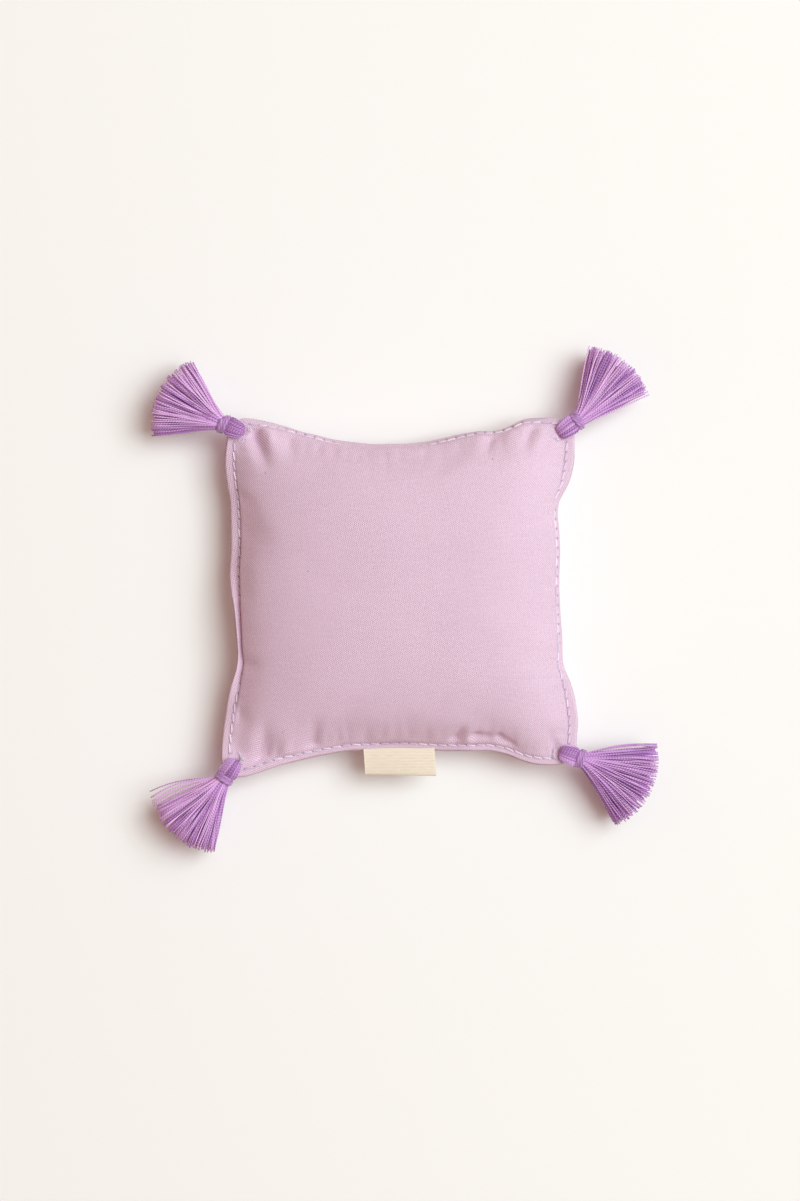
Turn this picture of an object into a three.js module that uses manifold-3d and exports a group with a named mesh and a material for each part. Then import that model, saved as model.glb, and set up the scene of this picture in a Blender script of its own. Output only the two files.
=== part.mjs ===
// A square lavender sachet: a stuffed cotton cushion with a topstitched flange all round,
// a thread tassel looped through each corner and a folded label in the lower seam.
// Millimetres, +Z up. It lies on its back panel, which is flat where it meets the plane z = 0.
// +X is the right of the face and +Y its top edge; the label hangs out of the edge towards -Y.

import * as THREE from "three";
import { mergeVertices } from "three/addons/utils/BufferGeometryUtils.js";
import Module from "manifold-3d";

const wasm = await Module();
wasm.setup();

// Cushion
const SIDE = 100; // finished square, between its sharp corners
const DRAW_IN = 1; // unit of the draw-in and the roll of the sides, tabled below
const SEAM_HEIGHT = 12; // seam plane above the table
const FACE_RISE = 15.5; // crown of the face panel above its flange
const BACK_RISE = 13; // crown of the back panel, before the table flattens it
const CROWN_FLATNESS = 3; // power that flattens the middle of the crown
const CROWN_STEEPNESS = 0.6; // power that steepens it at the seam
const EAR_FLATNESS = 0.4; // added to that power at the corners, which lie flat like ears
const FABRIC = 0.35; // one ply of the cotton; the turned edge of a flange has two
const FLANGE_WIDTH = 2.3; // from the seam to the outer edge
const SEAM_GAP = 0.2; // between the flanges of the two panels
const ROLL_REACH = 2.2; // inside the seam, where the crown leans out furthest over the flange
const CORNER_TUCK = 3.8; // how far a turned corner falls short of the sharp one
const CORNER_TURN = 20; // power that keeps the tuck close to the corner
const CROWN_CELLS = 18; // facets across a crown

// How far the stuffing draws in each side: a place along it, as a share of half its length from its
// middle, and mm. A corner that is pushed out is drawn in by less than nothing.
const DRAWN_IN = {
  top: [
    [-1, -0.2], [-0.92, -0.1], [-0.84, 0.5], [-0.68, 2.3], [-0.5, 4.6], [-0.34, 6.3], [-0.08, 7.1],
    [0.16, 6.6], [0.26, 5.4], [0.5, 4], [0.68, 1.8], [0.84, 0.5], [0.92, 0.15], [1, 0.1],
  ],
  bottom: [
    [-1, -1.7], [-0.9, -1.6], [-0.84, -0.8], [-0.68, 2.1], [-0.5, 4.3], [-0.3, 6.3], [0, 6.9],
    [0.26, 6.2], [0.5, 5.9], [0.6, 4.9], [0.76, 2.4], [0.92, 1.9], [1, 2.1],
  ],
  left: [
    [-1, -0.7], [-0.94, -0.7], [-0.76, 0], [-0.6, 0.9], [-0.5, 2.3], [-0.42, 3.5], [-0.34, 3.8],
    [-0.26, 3.5], [-0.08, 2.9], [0, 2.3], [0.26, 2.1], [0.42, 1.8], [0.6, 1.5], [0.76, 1], [0.86, 1.2],
    [1, 1.2],
  ],
  right: [
    [-1, 0.1], [-0.84, 0.1], [-0.76, 1.1], [-0.6, 2.9], [-0.36, 4.6], [0, 5.2], [0.36, 4.6], [0.6, 2.9],
    [0.7, 1.6], [0.76, 0.9], [0.82, 1], [0.92, 0.6], [1, 0.6],
  ],
};

// How far the crown leans out over the flange along each side, in the same way.
const ROLL = {
  top: [
    [-1, 0], [-0.72, 0.5], [-0.48, 1.3], [-0.32, 2.2], [0, 2.4], [0.16, 2], [0.32, 1], [0.6, 0.5],
    [1, 0],
  ],
  bottom: [
    [-1, 0], [-0.72, 0.4], [0, 0.6], [0.72, 0.4], [1, 0],
  ],
  left: [
    [-1, 0], [-0.8, 0.3], [-0.48, 0.5], [0, 1.1], [0.3, 1.1], [0.56, 1.2], [0.84, 0.3], [1, 0],
  ],
  right: [
    [-1, 0], [-0.84, 0.3], [-0.68, 1], [-0.52, 2.4], [-0.36, 3.2], [0, 3.4], [0.52, 3.2], [0.66, 2],
    [0.8, 0.5], [1, 0],
  ],
};

// Stuffing
const FILL_GAP = 0.5; // between the wadding and the cotton
const FILL_REACH = 0.88; // share of the crown's half width that the wadding fills
const HEART_REACH = 0.62; // the same for the heart of dried flowers
const HEART_RISE = 4.5; // half the thickness of the heart in its middle
const HEART_EDGE = 0.6; // half its thickness at its edge
const FILL_ROUNDNESS = 4; // power of the rounded square that the fill follows
const FILL_RINGS = 5;
const FILL_SECTORS = 24;

// Topstitching
const SEAM_THREAD = 0.4; // diameter
const SEAM_THREAD_SEAT = 0.15; // between the thread and the flange
const SEAM_THREAD_BREAK = 1.2; // between the start and the end of the row
const SEAM_THREAD_START = -24; // X of the break, in the lower edge
const SEAM_THREAD_SIDES = 4;

// Label
const LABEL_WIDTH = 20;
const LABEL_CENTRE = -0.3; // X of its middle
const LABEL_LENGTH = 7.8; // shown outside the flange, down to its fold
const LABEL_TAIL = 3.2; // sewn in, from the edge of the flange
const TAPE = 0.25; // one ply of the tape
const TAPE_GAP = 0.2; // between the plies of the folded leaf
const LABEL_FIT = 0.15; // round the tail in the seam

// Tassels
const HOLE_INSET = 3.8; // from each edge of the corner to the middle of the hole
const HOLE_BUNDLE = 2.3; // thread bundle where it goes through the hole, a diameter
const HOLE_FIT = 0.25; // round the bundle in the hole
const LOOP_WIDTH = 4.6; // bundle where it lies over the corner
const LOOP_THICKNESS = 1.6;
const FIT_GAP = 0.3; // between the tassel and what it moves past
const NECK_DIAMETER = 3.8; // bundle under the binding
const COLLAR = 0.3; // bundle that swells out before the binding
const WRAP_THREAD = 0.6; // binding thread, a diameter
const WRAP_PITCH = 1.02;
const WRAP_TURNS = 2.5;
const WRAP_SEAT = 0.2; // between the binding and the neck
const ROOT_DIAMETER = 3.4; // round root that the skirt bends on
const ROOT_FACE = 1.2; // from the bend to the face that the strands leave
const SKIRT_REACH = 26; // from the hole to the tips of the strands
const SKIRT_DROOP = 12; // degrees that the skirt hangs below the seam plane
const SKIRT_RISE = 18; // degrees of fan above and below its middle
const STRANDS = 75; // of each tassel
const STRAND_ROOT = 0.2; // width of a strand at the root and at the tip
const STRAND_TIP = 0.56;
const STRAND_RAGGED = 0.05; // share by which the tips fall short, at most

// Each tassel's corner, the direction that its head points in, how far its skirt turns aside from that
// and the width of its fan, in degrees
const TASSELS = [
  { corner: "top_left", right: -1, up: 1, heading: 157, aside: -5, fan: 73 },
  { corner: "top_right", right: 1, up: 1, heading: 36, aside: 16, fan: 58 },
  { corner: "bottom_left", right: -1, up: -1, heading: 235, aside: -3, fan: 60 },
  { corner: "bottom_right", right: 1, up: -1, heading: -19, aside: -8, fan: 72 },
];

const COTTON = { color: 0xdcbdd0, roughness: 0.9, metalness: 0 };
const STITCH = { color: 0xe6d6ee, roughness: 0.7, metalness: 0 };
const FLOSS = { color: 0xb184bd, roughness: 0.55, metalness: 0 };
const BINDING = { color: 0xa878b4, roughness: 0.55, metalness: 0 };
const TWILL_TAPE = { color: 0xf3e3cc, roughness: 0.9, metalness: 0 };
const WADDING = { color: 0xf4f2ee, roughness: 1, metalness: 0 };
const FLOWERS = { color: 0x7d6a8f, roughness: 1, metalness: 0 };

const flangeThickness = 2 * FABRIC;
const flangeTop = SEAM_GAP / 2 + flangeThickness;
const seamShare = 1 - (2 * FLANGE_WIDTH) / SIDE;
const radians = THREE.MathUtils.degToRad;

const sachet = new THREE.Group();

// Adds a named piece to a group.
function addPiece(group, name, geometry, finish) {
  geometry.computeVertexNormals();
  const mesh = new THREE.Mesh(geometry, new THREE.MeshStandardMaterial(finish));
  mesh.name = name;
  group.add(mesh);
}

// A closed solid for joining and cutting, from a geometry whose shared vertices are merged first.
function solidOf(geometry) {
  const bare = geometry.clone();
  bare.deleteAttribute("normal");
  bare.deleteAttribute("uv");
  const merged = mergeVertices(bare);
  const vertProperties = new Float32Array(merged.attributes.position.array);
  const triVerts = new Uint32Array(merged.index.array);
  return new wasm.Manifold(new wasm.Mesh({ numProp: 3, vertProperties, triVerts }));
}

function geometryOf(solid) {
  const mesh = solid.getMesh();
  const geometry = new THREE.BufferGeometry();
  geometry.setAttribute("position", new THREE.BufferAttribute(mesh.vertProperties, 3));
  geometry.setIndex(new THREE.BufferAttribute(mesh.triVerts, 1));
  return geometry;
}

function geometryFrom(points, triangles) {
  const geometry = new THREE.BufferGeometry();
  geometry.setFromPoints(points);
  geometry.setIndex(triangles.flat());
  return geometry;
}

// A solid between two stacks of rings with the same number of points, closed by a fan at each end.
function loft(rings) {
  const sides = rings[0].length;
  const points = rings.flat();
  const triangles = [];
  for (let ring = 0; ring + 1 < rings.length; ring += 1) {
    for (let side = 0; side < sides; side += 1) {
      const next = (side + 1) % sides;
      const low = ring * sides;
      const high = low + sides;
      triangles.push([low + side, low + next, high + next]);
      triangles.push([low + side, high + next, high + side]);
    }
  }
  const last = (rings.length - 1) * sides;
  for (let side = 1; side + 1 < sides; side += 1) {
    triangles.push([0, side + 1, side]);
    triangles.push([last, last + side, last + side + 1]);
  }
  return geometryFrom(points, triangles);
}

// A tube along points whose cross section, given at each point as two half widths, keeps its first
// axis as close as it can to the direction given.
function tube(path, halfWidths, sides, direction) {
  const rings = path.map((point, index) => {
    const before = path[Math.max(index - 1, 0)];
    const after = path[Math.min(index + 1, path.length - 1)];
    const along = after.clone().sub(before).normalize();
    const up = along.clone().cross(direction).normalize();
    const across = up.clone().cross(along);
    const [wide, high] = halfWidths(index / (path.length - 1));
    return Array.from({ length: sides }, (_, side) => {
      const turn = (2 * Math.PI * side) / sides;
      return point
        .clone()
        .addScaledVector(across, wide * Math.cos(turn))
        .addScaledVector(up, high * Math.sin(turn));
    });
  });
  return loft(rings);
}

// The value at a place of a table of places and values, on a smooth line through its points.
function alongTable(table, place) {
  let index = 0;
  while (index + 2 < table.length && place > table[index + 1][0]) {
    index += 1;
  }
  const slope = (at) => {
    const [from, to] = [table[Math.max(at - 1, 0)], table[Math.min(at + 1, table.length - 1)]];
    return (to[1] - from[1]) / (to[0] - from[0]);
  };
  const [[start, low], [end, high]] = [table[index], table[index + 1]];
  const step = end - start;
  const t = THREE.MathUtils.clamp((place - start) / step, 0, 1);
  const curve = low * (1 + 2 * t) * (1 - t) ** 2 + high * t * t * (3 - 2 * t);
  return DRAW_IN * (curve + step * t * (1 - t) * (slope(index) * (1 - t) - slope(index + 1) * t));
}

// Where a point of the flat square lies once the stuffing has drawn the sides in: a and b run from -1 to 1.
function plan(a, b) {
  const half = SIDE / 2;
  const pullX = alongTable(a > 0 ? DRAWN_IN.right : DRAWN_IN.left, b);
  const pullY = alongTable(b > 0 ? DRAWN_IN.top : DRAWN_IN.bottom, a);
  const tuck = CORNER_TUCK * Math.SQRT1_2 * Math.abs(a * b) ** CORNER_TURN;
  const x = a * half - a * Math.abs(a) * pullX - Math.sign(a) * tuck;
  const y = b * half - b * Math.abs(b) * pullY - Math.sign(b) * tuck;
  return new THREE.Vector2(x, y);
}

// How far the crown leans out past its place on the flat square: each side adds its roll close to its seam.
function lean(a, b) {
  const roll = (side, across, along) => {
    const inside = ((SIDE / 2) * Math.max(seamShare - across, 0)) / ROLL_REACH;
    return alongTable(ROLL[side], along) * (inside * Math.exp(1 - inside)) ** 2;
  };
  return new THREE.Vector2(roll("right", a, b) - roll("left", -a, b), roll("top", b, a) - roll("bottom", -b, a));
}

// Share of the crown's rise over the flat square: 0 at the seam and on the flange.
function puff(a, b) {
  const across = Math.min(Math.abs(a) / seamShare, 1);
  const along = Math.min(Math.abs(b) / seamShare, 1);
  const bulge = (1 - across ** CROWN_FLATNESS) * (1 - along ** CROWN_FLATNESS);
  const corner = (across * along) ** 2;
  return bulge ** (CROWN_STEEPNESS + EAR_FLATNESS * corner);
}

// The two panels: which way each bulges, its rise, how far it can go before the table stops it and its
// share of the roll.
const FACE = { way: 1, rise: FACE_RISE, stop: Infinity, roll: 1 };
const BACK = { way: -1, rise: BACK_RISE, stop: SEAM_HEIGHT, roll: 0.6 };

// A point of a panel's outer surface.
function panelPoint(panel, a, b) {
  const spot = plan(a, b).addScaledVector(lean(a, b), panel.roll);
  const height = Math.min(flangeTop + panel.rise * puff(a, b), panel.stop);
  return new THREE.Vector3(spot.x, spot.y, SEAM_HEIGHT + panel.way * height);
}

// The same point moved into the cushion by a depth, square to the surface.
function insetPoint(panel, a, b, depth) {
  const step = 0.01;
  const alongA = panelPoint(panel, a + step, b).sub(panelPoint(panel, a - step, b));
  const alongB = panelPoint(panel, a, b + step).sub(panelPoint(panel, a, b - step));
  const outward = alongA.cross(alongB).normalize().multiplyScalar(panel.way);
  return panelPoint(panel, a, b).addScaledVector(outward, -depth);
}

const crownStations = Array.from({ length: CROWN_CELLS + 1 }, (_, index) => {
  const turn = (Math.PI / 2) * ((2 * index) / CROWN_CELLS - 1);
  return seamShare * Math.sin(turn);
});
const stations = [-1, ...crownStations, 1];

// One cotton panel with its flange: outer and inner surfaces over the same stations, joined at the rim.
function panelGeometry(panel) {
  const count = stations.length;
  const outer = [];
  const inner = [];
  for (const b of stations) {
    for (const a of stations) {
      const onFlange = Math.max(Math.abs(a), Math.abs(b)) >= seamShare - 1e-9;
      const face = panelPoint(panel, a, b);
      const lining = onFlange
        ? face.clone().setZ(face.z - panel.way * flangeThickness)
        : insetPoint(panel, a, b, FABRIC);
      outer.push(face);
      inner.push(lining);
    }
  }
  const lower = outer.length;
  const triangles = [];
  const quad = (p, q, r, s) => triangles.push([p, q, r], [p, r, s]);
  for (let row = 0; row + 1 < count; row += 1) {
    for (let column = 0; column + 1 < count; column += 1) {
      const corner = row * count + column;
      const across = corner + count;
      quad(corner, corner + 1, across + 1, across);
      quad(lower + corner, lower + across, lower + across + 1, lower + corner + 1);
    }
  }
  const top = (count - 1) * count;
  for (let index = 0; index + 1 < count; index += 1) {
    const left = index * count;
    const right = left + count - 1;
    quad(index, lower + index, lower + index + 1, index + 1);
    quad(top + index, top + index + 1, lower + top + index + 1, lower + top + index);
    quad(left, left + count, lower + left + count, lower + left);
    quad(right, lower + right, lower + right + count, right + count);
  }
  const facing = panel.way > 0 ? triangles : triangles.map(([p, q, r]) => [p, r, q]);
  return geometryFrom([...outer, ...inner], facing);
}

// Where a tassel goes through its corner, and how far the turned corner reaches past that hole.
function cornerHole(tassel) {
  const share = 1 - (2 * HOLE_INSET) / SIDE;
  const hole = plan(tassel.right * share, tassel.up * share);
  let reach = 0;
  for (const part of [0, 0.25, 0.5, 0.75, 1]) {
    const place = THREE.MathUtils.lerp(share, 1, part);
    const onSide = plan(tassel.right, tassel.up * place);
    const onEnd = plan(tassel.right * place, tassel.up);
    reach = Math.max(reach, hole.distanceTo(onSide), hole.distanceTo(onEnd));
  }
  return { hole, reach };
}

const lowerEdge = plan(0, -1).y;
const labelEdge = Math.min(plan(-LABEL_WIDTH / SIDE, -1).y, plan(LABEL_WIDTH / SIDE, -1).y);
const tailInner = lowerEdge + LABEL_TAIL;
const tailThickness = 2 * TAPE;
const leafThickness = 2 * TAPE + TAPE_GAP;
const labelHinge = labelEdge - FIT_GAP - leafThickness / 2;

// What is cut out of both panels: the four tassel holes and the room for the label's tail.
function panelCuts() {
  const height = 4 * (flangeTop + FACE_RISE + BACK_RISE);
  const cuts = TASSELS.map((tassel) => {
    const { hole } = cornerHole(tassel);
    const bore = new THREE.CylinderGeometry(HOLE_BUNDLE / 2 + HOLE_FIT, HOLE_BUNDLE / 2 + HOLE_FIT, height, 12);
    bore.rotateX(Math.PI / 2);
    bore.translate(hole.x, hole.y, SEAM_HEIGHT);
    return solidOf(bore);
  });
  const depth = tailInner + LABEL_FIT - labelHinge;
  const room = new THREE.BoxGeometry(LABEL_WIDTH + 2 * LABEL_FIT, depth, tailThickness + 2 * LABEL_FIT);
  room.translate(LABEL_CENTRE, labelHinge + depth / 2, SEAM_HEIGHT);
  return [...cuts, solidOf(room)];
}

function addPanels() {
  for (const [name, panel] of [["face_panel", FACE], ["back_panel", BACK]]) {
    let solid = solidOf(panelGeometry(panel));
    for (const cut of panelCuts()) {
      solid = solid.subtract(cut);
    }
    addPiece(sachet, name, geometryOf(solid), COTTON);
  }
}

// Shares of the flat square on a ring of the fill, which is a rounded square in plan.
function fillShares(ring, sector, reach) {
  const turn = (2 * Math.PI * sector) / FILL_SECTORS;
  const corner = Math.abs(Math.cos(turn)) ** FILL_ROUNDNESS + Math.abs(Math.sin(turn)) ** FILL_ROUNDNESS;
  const share = (seamShare * reach * ring) / FILL_RINGS / corner ** (1 / FILL_ROUNDNESS);
  return [share * Math.cos(turn), share * Math.sin(turn)];
}

// A fill solid between an upper and a lower surface, both given as functions of the shares.
function fillGeometry(reach, upper, lower) {
  const points = [];
  for (const surface of [upper, lower]) {
    points.push(surface(0, 0));
    for (let ring = 1; ring <= FILL_RINGS; ring += 1) {
      for (let sector = 0; sector < FILL_SECTORS; sector += 1) {
        points.push(surface(...fillShares(ring, sector, reach)));
      }
    }
  }
  const below = points.length / 2;
  const at = (ring, sector) => 1 + (ring - 1) * FILL_SECTORS + (sector % FILL_SECTORS);
  const triangles = [];
  for (let sector = 0; sector < FILL_SECTORS; sector += 1) {
    const next = sector + 1;
    triangles.push([0, at(1, sector), at(1, next)]);
    triangles.push([below, below + at(1, next), below + at(1, sector)]);
    for (let ring = 1; ring < FILL_RINGS; ring += 1) {
      const [p, q, r, s] = [at(ring, sector), at(ring + 1, sector), at(ring + 1, next), at(ring, next)];
      triangles.push([p, q, r], [p, r, s]);
      triangles.push([below + p, below + r, below + q], [below + p, below + s, below + r]);
    }
    const [rim, rimNext] = [at(FILL_RINGS, sector), at(FILL_RINGS, next)];
    triangles.push([rim, below + rim, below + rimNext], [rim, below + rimNext, rimNext]);
  }
  return geometryFrom(points, triangles);
}

// Half the thickness of the heart of dried flowers.
function heartHeight(a, b) {
  const limit = seamShare * HEART_REACH;
  const bulge = (1 - Math.min(Math.abs(a) / limit, 1) ** 2) * (1 - Math.min(Math.abs(b) / limit, 1) ** 2);
  return HEART_EDGE + (HEART_RISE - HEART_EDGE) * Math.sqrt(bulge);
}

function levelPoint(a, b, height) {
  const spot = plan(a, b);
  return new THREE.Vector3(spot.x, spot.y, SEAM_HEIGHT + height);
}

// The wadding lies against each panel and parts round the heart of flowers in the middle.
function addStuffing() {
  const cover = (panel) => (a, b) => insetPoint(panel, a, b, FABRIC + FILL_GAP);
  const bed = (way) => (a, b) => levelPoint(a, b, way * (heartHeight(a, b) + FIT_GAP));
  const heart = (way) => (a, b) => levelPoint(a, b, way * heartHeight(a, b));
  const faceWadding = fillGeometry(FILL_REACH, cover(FACE), bed(1));
  const backWadding = fillGeometry(FILL_REACH, bed(-1), cover(BACK));
  addPiece(sachet, "face_wadding", faceWadding, WADDING);
  addPiece(sachet, "back_wadding", backWadding, WADDING);
  addPiece(sachet, "lavender_flowers", fillGeometry(HEART_REACH, heart(1), heart(-1)), FLOWERS);
}

// The stitch line in plan, just outside the seam: from its break, round the four corners and back.
function stitchLine() {
  const inset = FLANGE_WIDTH - SEAM_THREAD / 2 - FIT_GAP;
  const share = 1 - (2 * inset) / SIDE;
  const start = (2 * SEAM_THREAD_START) / SIDE;
  const end = start - (2 * SEAM_THREAD_BREAK) / SIDE;
  const turns = [
    [start, -share],
    [share, -share],
    [share, share],
    [-share, share],
    [-share, -share],
    [end, -share],
  ];
  const line = [plan(...turns[0])];
  for (let leg = 0; leg + 1 < turns.length; leg += 1) {
    const [a, b] = turns[leg];
    const [aNext, bNext] = turns[leg + 1];
    const upright = a === aNext;
    const [from, to] = upright ? [b, bNext] : [a, aNext];
    const passed = crownStations.slice(1, -1).filter((at) => (at - from) * (at - to) < 0);
    if (from > to) {
      passed.reverse();
    }
    for (const at of [...passed, to]) {
      line.push(upright ? plan(a, at) : plan(at, b));
    }
  }
  return line;
}

// The needle thread lies on the face's flange and the bobbin thread under the back's.
function addSeamThreads() {
  const upright = new THREE.Vector3(0, 0, 1);
  const radius = SEAM_THREAD / 2;
  const height = flangeTop + SEAM_THREAD_SEAT + radius;
  for (const [name, way] of [["needle_thread", 1], ["bobbin_thread", -1]]) {
    const path = stitchLine().map((spot) => new THREE.Vector3(spot.x, spot.y, SEAM_HEIGHT + way * height));
    addPiece(sachet, name, tube(path, () => [radius, radius], SEAM_THREAD_SIDES, upright), STITCH);
  }
}

// A cross section of the label, drawn as Y and Z, drawn out along X over the label's width.
function labelGeometry(outline) {
  const shape = new THREE.Shape(outline.map(([y, z]) => new THREE.Vector2(y, z)));
  const geometry = new THREE.ExtrudeGeometry(shape, { depth: LABEL_WIDTH, bevelEnabled: false });
  geometry.rotateY(Math.PI / 2);
  geometry.rotateX(Math.PI / 2);
  geometry.translate(LABEL_CENTRE - LABEL_WIDTH / 2, 0, SEAM_HEIGHT);
  return geometry;
}

// The tape's two ends are pressed together in the seam; outside it folds back on itself at its lower edge.
function addLabel() {
  const tail = tailThickness / 2;
  const tailOutline = [[lowerEdge, -tail], [tailInner, -tail], [tailInner, tail], [lowerEdge, tail]];
  addPiece(sachet, "label_tail", labelGeometry(tailOutline), TWILL_TAPE);
  const fold = lowerEdge - LABEL_LENGTH;
  const outside = leafThickness / 2;
  const inside = TAPE_GAP / 2;
  const leafOutline = [
    [labelHinge, -outside],
    [labelHinge, -inside],
    [fold + TAPE, -inside],
    [fold + TAPE, inside],
    [labelHinge, inside],
    [labelHinge, outside],
    [fold + TAPE, outside],
    [fold, inside],
    [fold, -inside],
    [fold + TAPE, -outside],
  ];
  addPiece(sachet, "label_leaf", labelGeometry(leafOutline), TWILL_TAPE);
}

const neckRadius = NECK_DIAMETER / 2;
const wrapRadius = neckRadius + WRAP_SEAT + WRAP_THREAD / 2;
const rootRadius = ROOT_DIAMETER / 2;
const cupRadius = rootRadius + FIT_GAP;
const wrapLength = WRAP_TURNS * WRAP_PITCH;

// Distances along a tassel from the middle of its hole.
function tasselStations(reach) {
  const neck = reach + FIT_GAP;
  const waist = neck + COLLAR;
  const wrapStart = waist + WRAP_SEAT + WRAP_THREAD / 2;
  const wrapEnd = wrapStart + wrapLength;
  const waistEnd = wrapEnd + WRAP_THREAD / 2 + WRAP_SEAT;
  const bend = waistEnd + FIT_GAP + cupRadius;
  return { neck, waist, wrapStart, wrapEnd, waistEnd, bend };
}

const LOOP_STEPS = 16;
const LOOP_SIDES = 8;

// The folded bundle: out of the neck, over the corner, down through the hole and back under the corner.
function loopGeometry(along) {
  const height = flangeTop + SEAM_THREAD_SEAT + SEAM_THREAD + FIT_GAP + LOOP_THICKNESS / 2;
  const end = flangeTop + FIT_GAP + LOOP_THICKNESS / 2;
  const upper = [
    [along.neck + COLLAR / 2, end],
    [along.neck - COLLAR, end],
    [0.5 * along.neck, height],
    [0.2 * along.neck, 0.93 * height],
    [0, 0.55 * height],
  ];
  const lower = upper.map(([x, z]) => [x, -z]).reverse();
  const spots = [...upper, [0, 0], ...lower].map(([x, z]) => new THREE.Vector3(x, 0, z));
  const path = new THREE.CatmullRomCurve3(spots).getPoints(LOOP_STEPS);
  const section = (share) => {
    const swell = THREE.MathUtils.smoothstep(Math.abs(2 * share - 1), 0.25, 0.65);
    const wide = THREE.MathUtils.lerp(HOLE_BUNDLE, LOOP_WIDTH, swell) / 2;
    const high = THREE.MathUtils.lerp(HOLE_BUNDLE, LOOP_THICKNESS, swell) / 2;
    return [wide, high];
  };
  return tube(path, section, LOOP_SIDES, new THREE.Vector3(0, 1, 0));
}

const NECK_SIDES = 12;

// The neck: the bundle drawn in under the binding between two swells, turned about the tassel's axis.
function neckGeometry(along) {
  const profile = [
    [0, along.neck],
    [neckRadius, along.neck],
    [wrapRadius, along.waist - COLLAR / 2],
    [wrapRadius, along.waist],
    [neckRadius, along.waist],
    [neckRadius, along.waistEnd],
    [wrapRadius, along.waistEnd],
    [rootRadius, along.bend - rootRadius / 2],
    [0, along.bend - rootRadius / 2],
  ];
  const geometry = new THREE.LatheGeometry(profile.map(([r, x]) => new THREE.Vector2(r, x)), NECK_SIDES);
  geometry.rotateZ(-Math.PI / 2);
  return geometry;
}

// A point beside the binding: axial place, turn about the axis, distance out and shift round the neck.
function besideWrap(x, turn, out, shift) {
  const y = out * Math.cos(turn) - shift * Math.sin(turn);
  const z = out * Math.sin(turn) + shift * Math.cos(turn);
  return new THREE.Vector3(x, y, z);
}

const WRAP_STEPS = 12; // of one turn
const WRAP_SIDES = 5;
const BEND_STEPS = 3; // of the bend that takes an end of the thread into the bundle

// The binding thread: its ends run straight into the bundle and its turns climb along the neck.
function wrapPath(along) {
  const inner = wrapRadius - WRAP_THREAD;
  const last = 2 * Math.PI * WRAP_TURNS;
  const path = [besideWrap(along.wrapStart, 0, inner - WRAP_THREAD, -WRAP_THREAD)];
  for (let step = 0; step < BEND_STEPS; step += 1) {
    const bend = (Math.PI / 2) * (step / BEND_STEPS);
    const out = inner + WRAP_THREAD * Math.sin(bend);
    path.push(besideWrap(along.wrapStart, 0, out, -WRAP_THREAD * Math.cos(bend)));
  }
  const steps = WRAP_STEPS * WRAP_TURNS;
  for (let step = 0; step <= steps; step += 1) {
    const share = step / steps;
    path.push(besideWrap(along.wrapStart + wrapLength * share, last * share, wrapRadius, 0));
  }
  for (let step = 1; step <= BEND_STEPS; step += 1) {
    const bend = (Math.PI / 2) * (step / BEND_STEPS);
    const out = inner + WRAP_THREAD * Math.cos(bend);
    path.push(besideWrap(along.wrapEnd, last, out, WRAP_THREAD * Math.sin(bend)));
  }
  path.push(besideWrap(along.wrapEnd, last, inner - WRAP_THREAD, WRAP_THREAD));
  return path;
}

// Least distance between the surfaces of two stretches of one tube that are over a half turn apart.
function leastGap(path, diameter) {
  const apart = WRAP_STEPS / 2;
  let least = Infinity;
  path.forEach((point, index) => {
    for (const other of path.slice(index + apart)) {
      least = Math.min(least, point.distanceTo(other) - diameter);
    }
  });
  return least;
}

// A hole in the neck for each end of the binding thread.
function wrapHoles(along) {
  const bottom = wrapRadius - 2 * WRAP_THREAD - WRAP_SEAT;
  const depth = wrapRadius + WRAP_THREAD - bottom;
  const last = 2 * Math.PI * WRAP_TURNS;
  const ends = [
    { x: along.wrapStart, turn: 0, shift: -WRAP_THREAD },
    { x: along.wrapEnd, turn: last, shift: WRAP_THREAD },
  ];
  return ends.map(({ x, turn, shift }) => {
    const hole = new THREE.CylinderGeometry(WRAP_THREAD / 2 + WRAP_SEAT, WRAP_THREAD / 2 + WRAP_SEAT, depth, 6);
    hole.translate(0, bottom + depth / 2, 0);
    hole.rotateX(turn);
    const shifted = besideWrap(x, turn, 0, shift);
    hole.translate(shifted.x, shifted.y, shifted.z);
    return solidOf(hole);
  });
}

function headGeometry(along) {
  const cup = new THREE.SphereGeometry(cupRadius, NECK_SIDES, 8);
  cup.translate(along.bend, 0, 0);
  let solid = solidOf(loopGeometry(along)).add(solidOf(neckGeometry(along)));
  solid = solid.subtract(solidOf(cup));
  for (const hole of wrapHoles(along)) {
    solid = solid.subtract(hole);
  }
  return geometryOf(solid);
}

function wrapGeometry(along) {
  const path = wrapPath(along);
  const radius = WRAP_THREAD / 2;
  console.log(`binding's least gap to itself: ${leastGap(path, WRAP_THREAD).toFixed(2)} mm`);
  return tube(path, () => [radius, radius], WRAP_SIDES, new THREE.Vector3(1, 0, 0));
}

// A place in a unit disc for each strand, spread evenly by the golden angle.
function strandPlace(index) {
  const golden = Math.PI * (3 - Math.sqrt(5));
  const out = Math.sqrt((index + 0.5) / STRANDS);
  return new THREE.Vector2(out * Math.cos(index * golden), out * Math.sin(index * golden));
}

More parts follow.
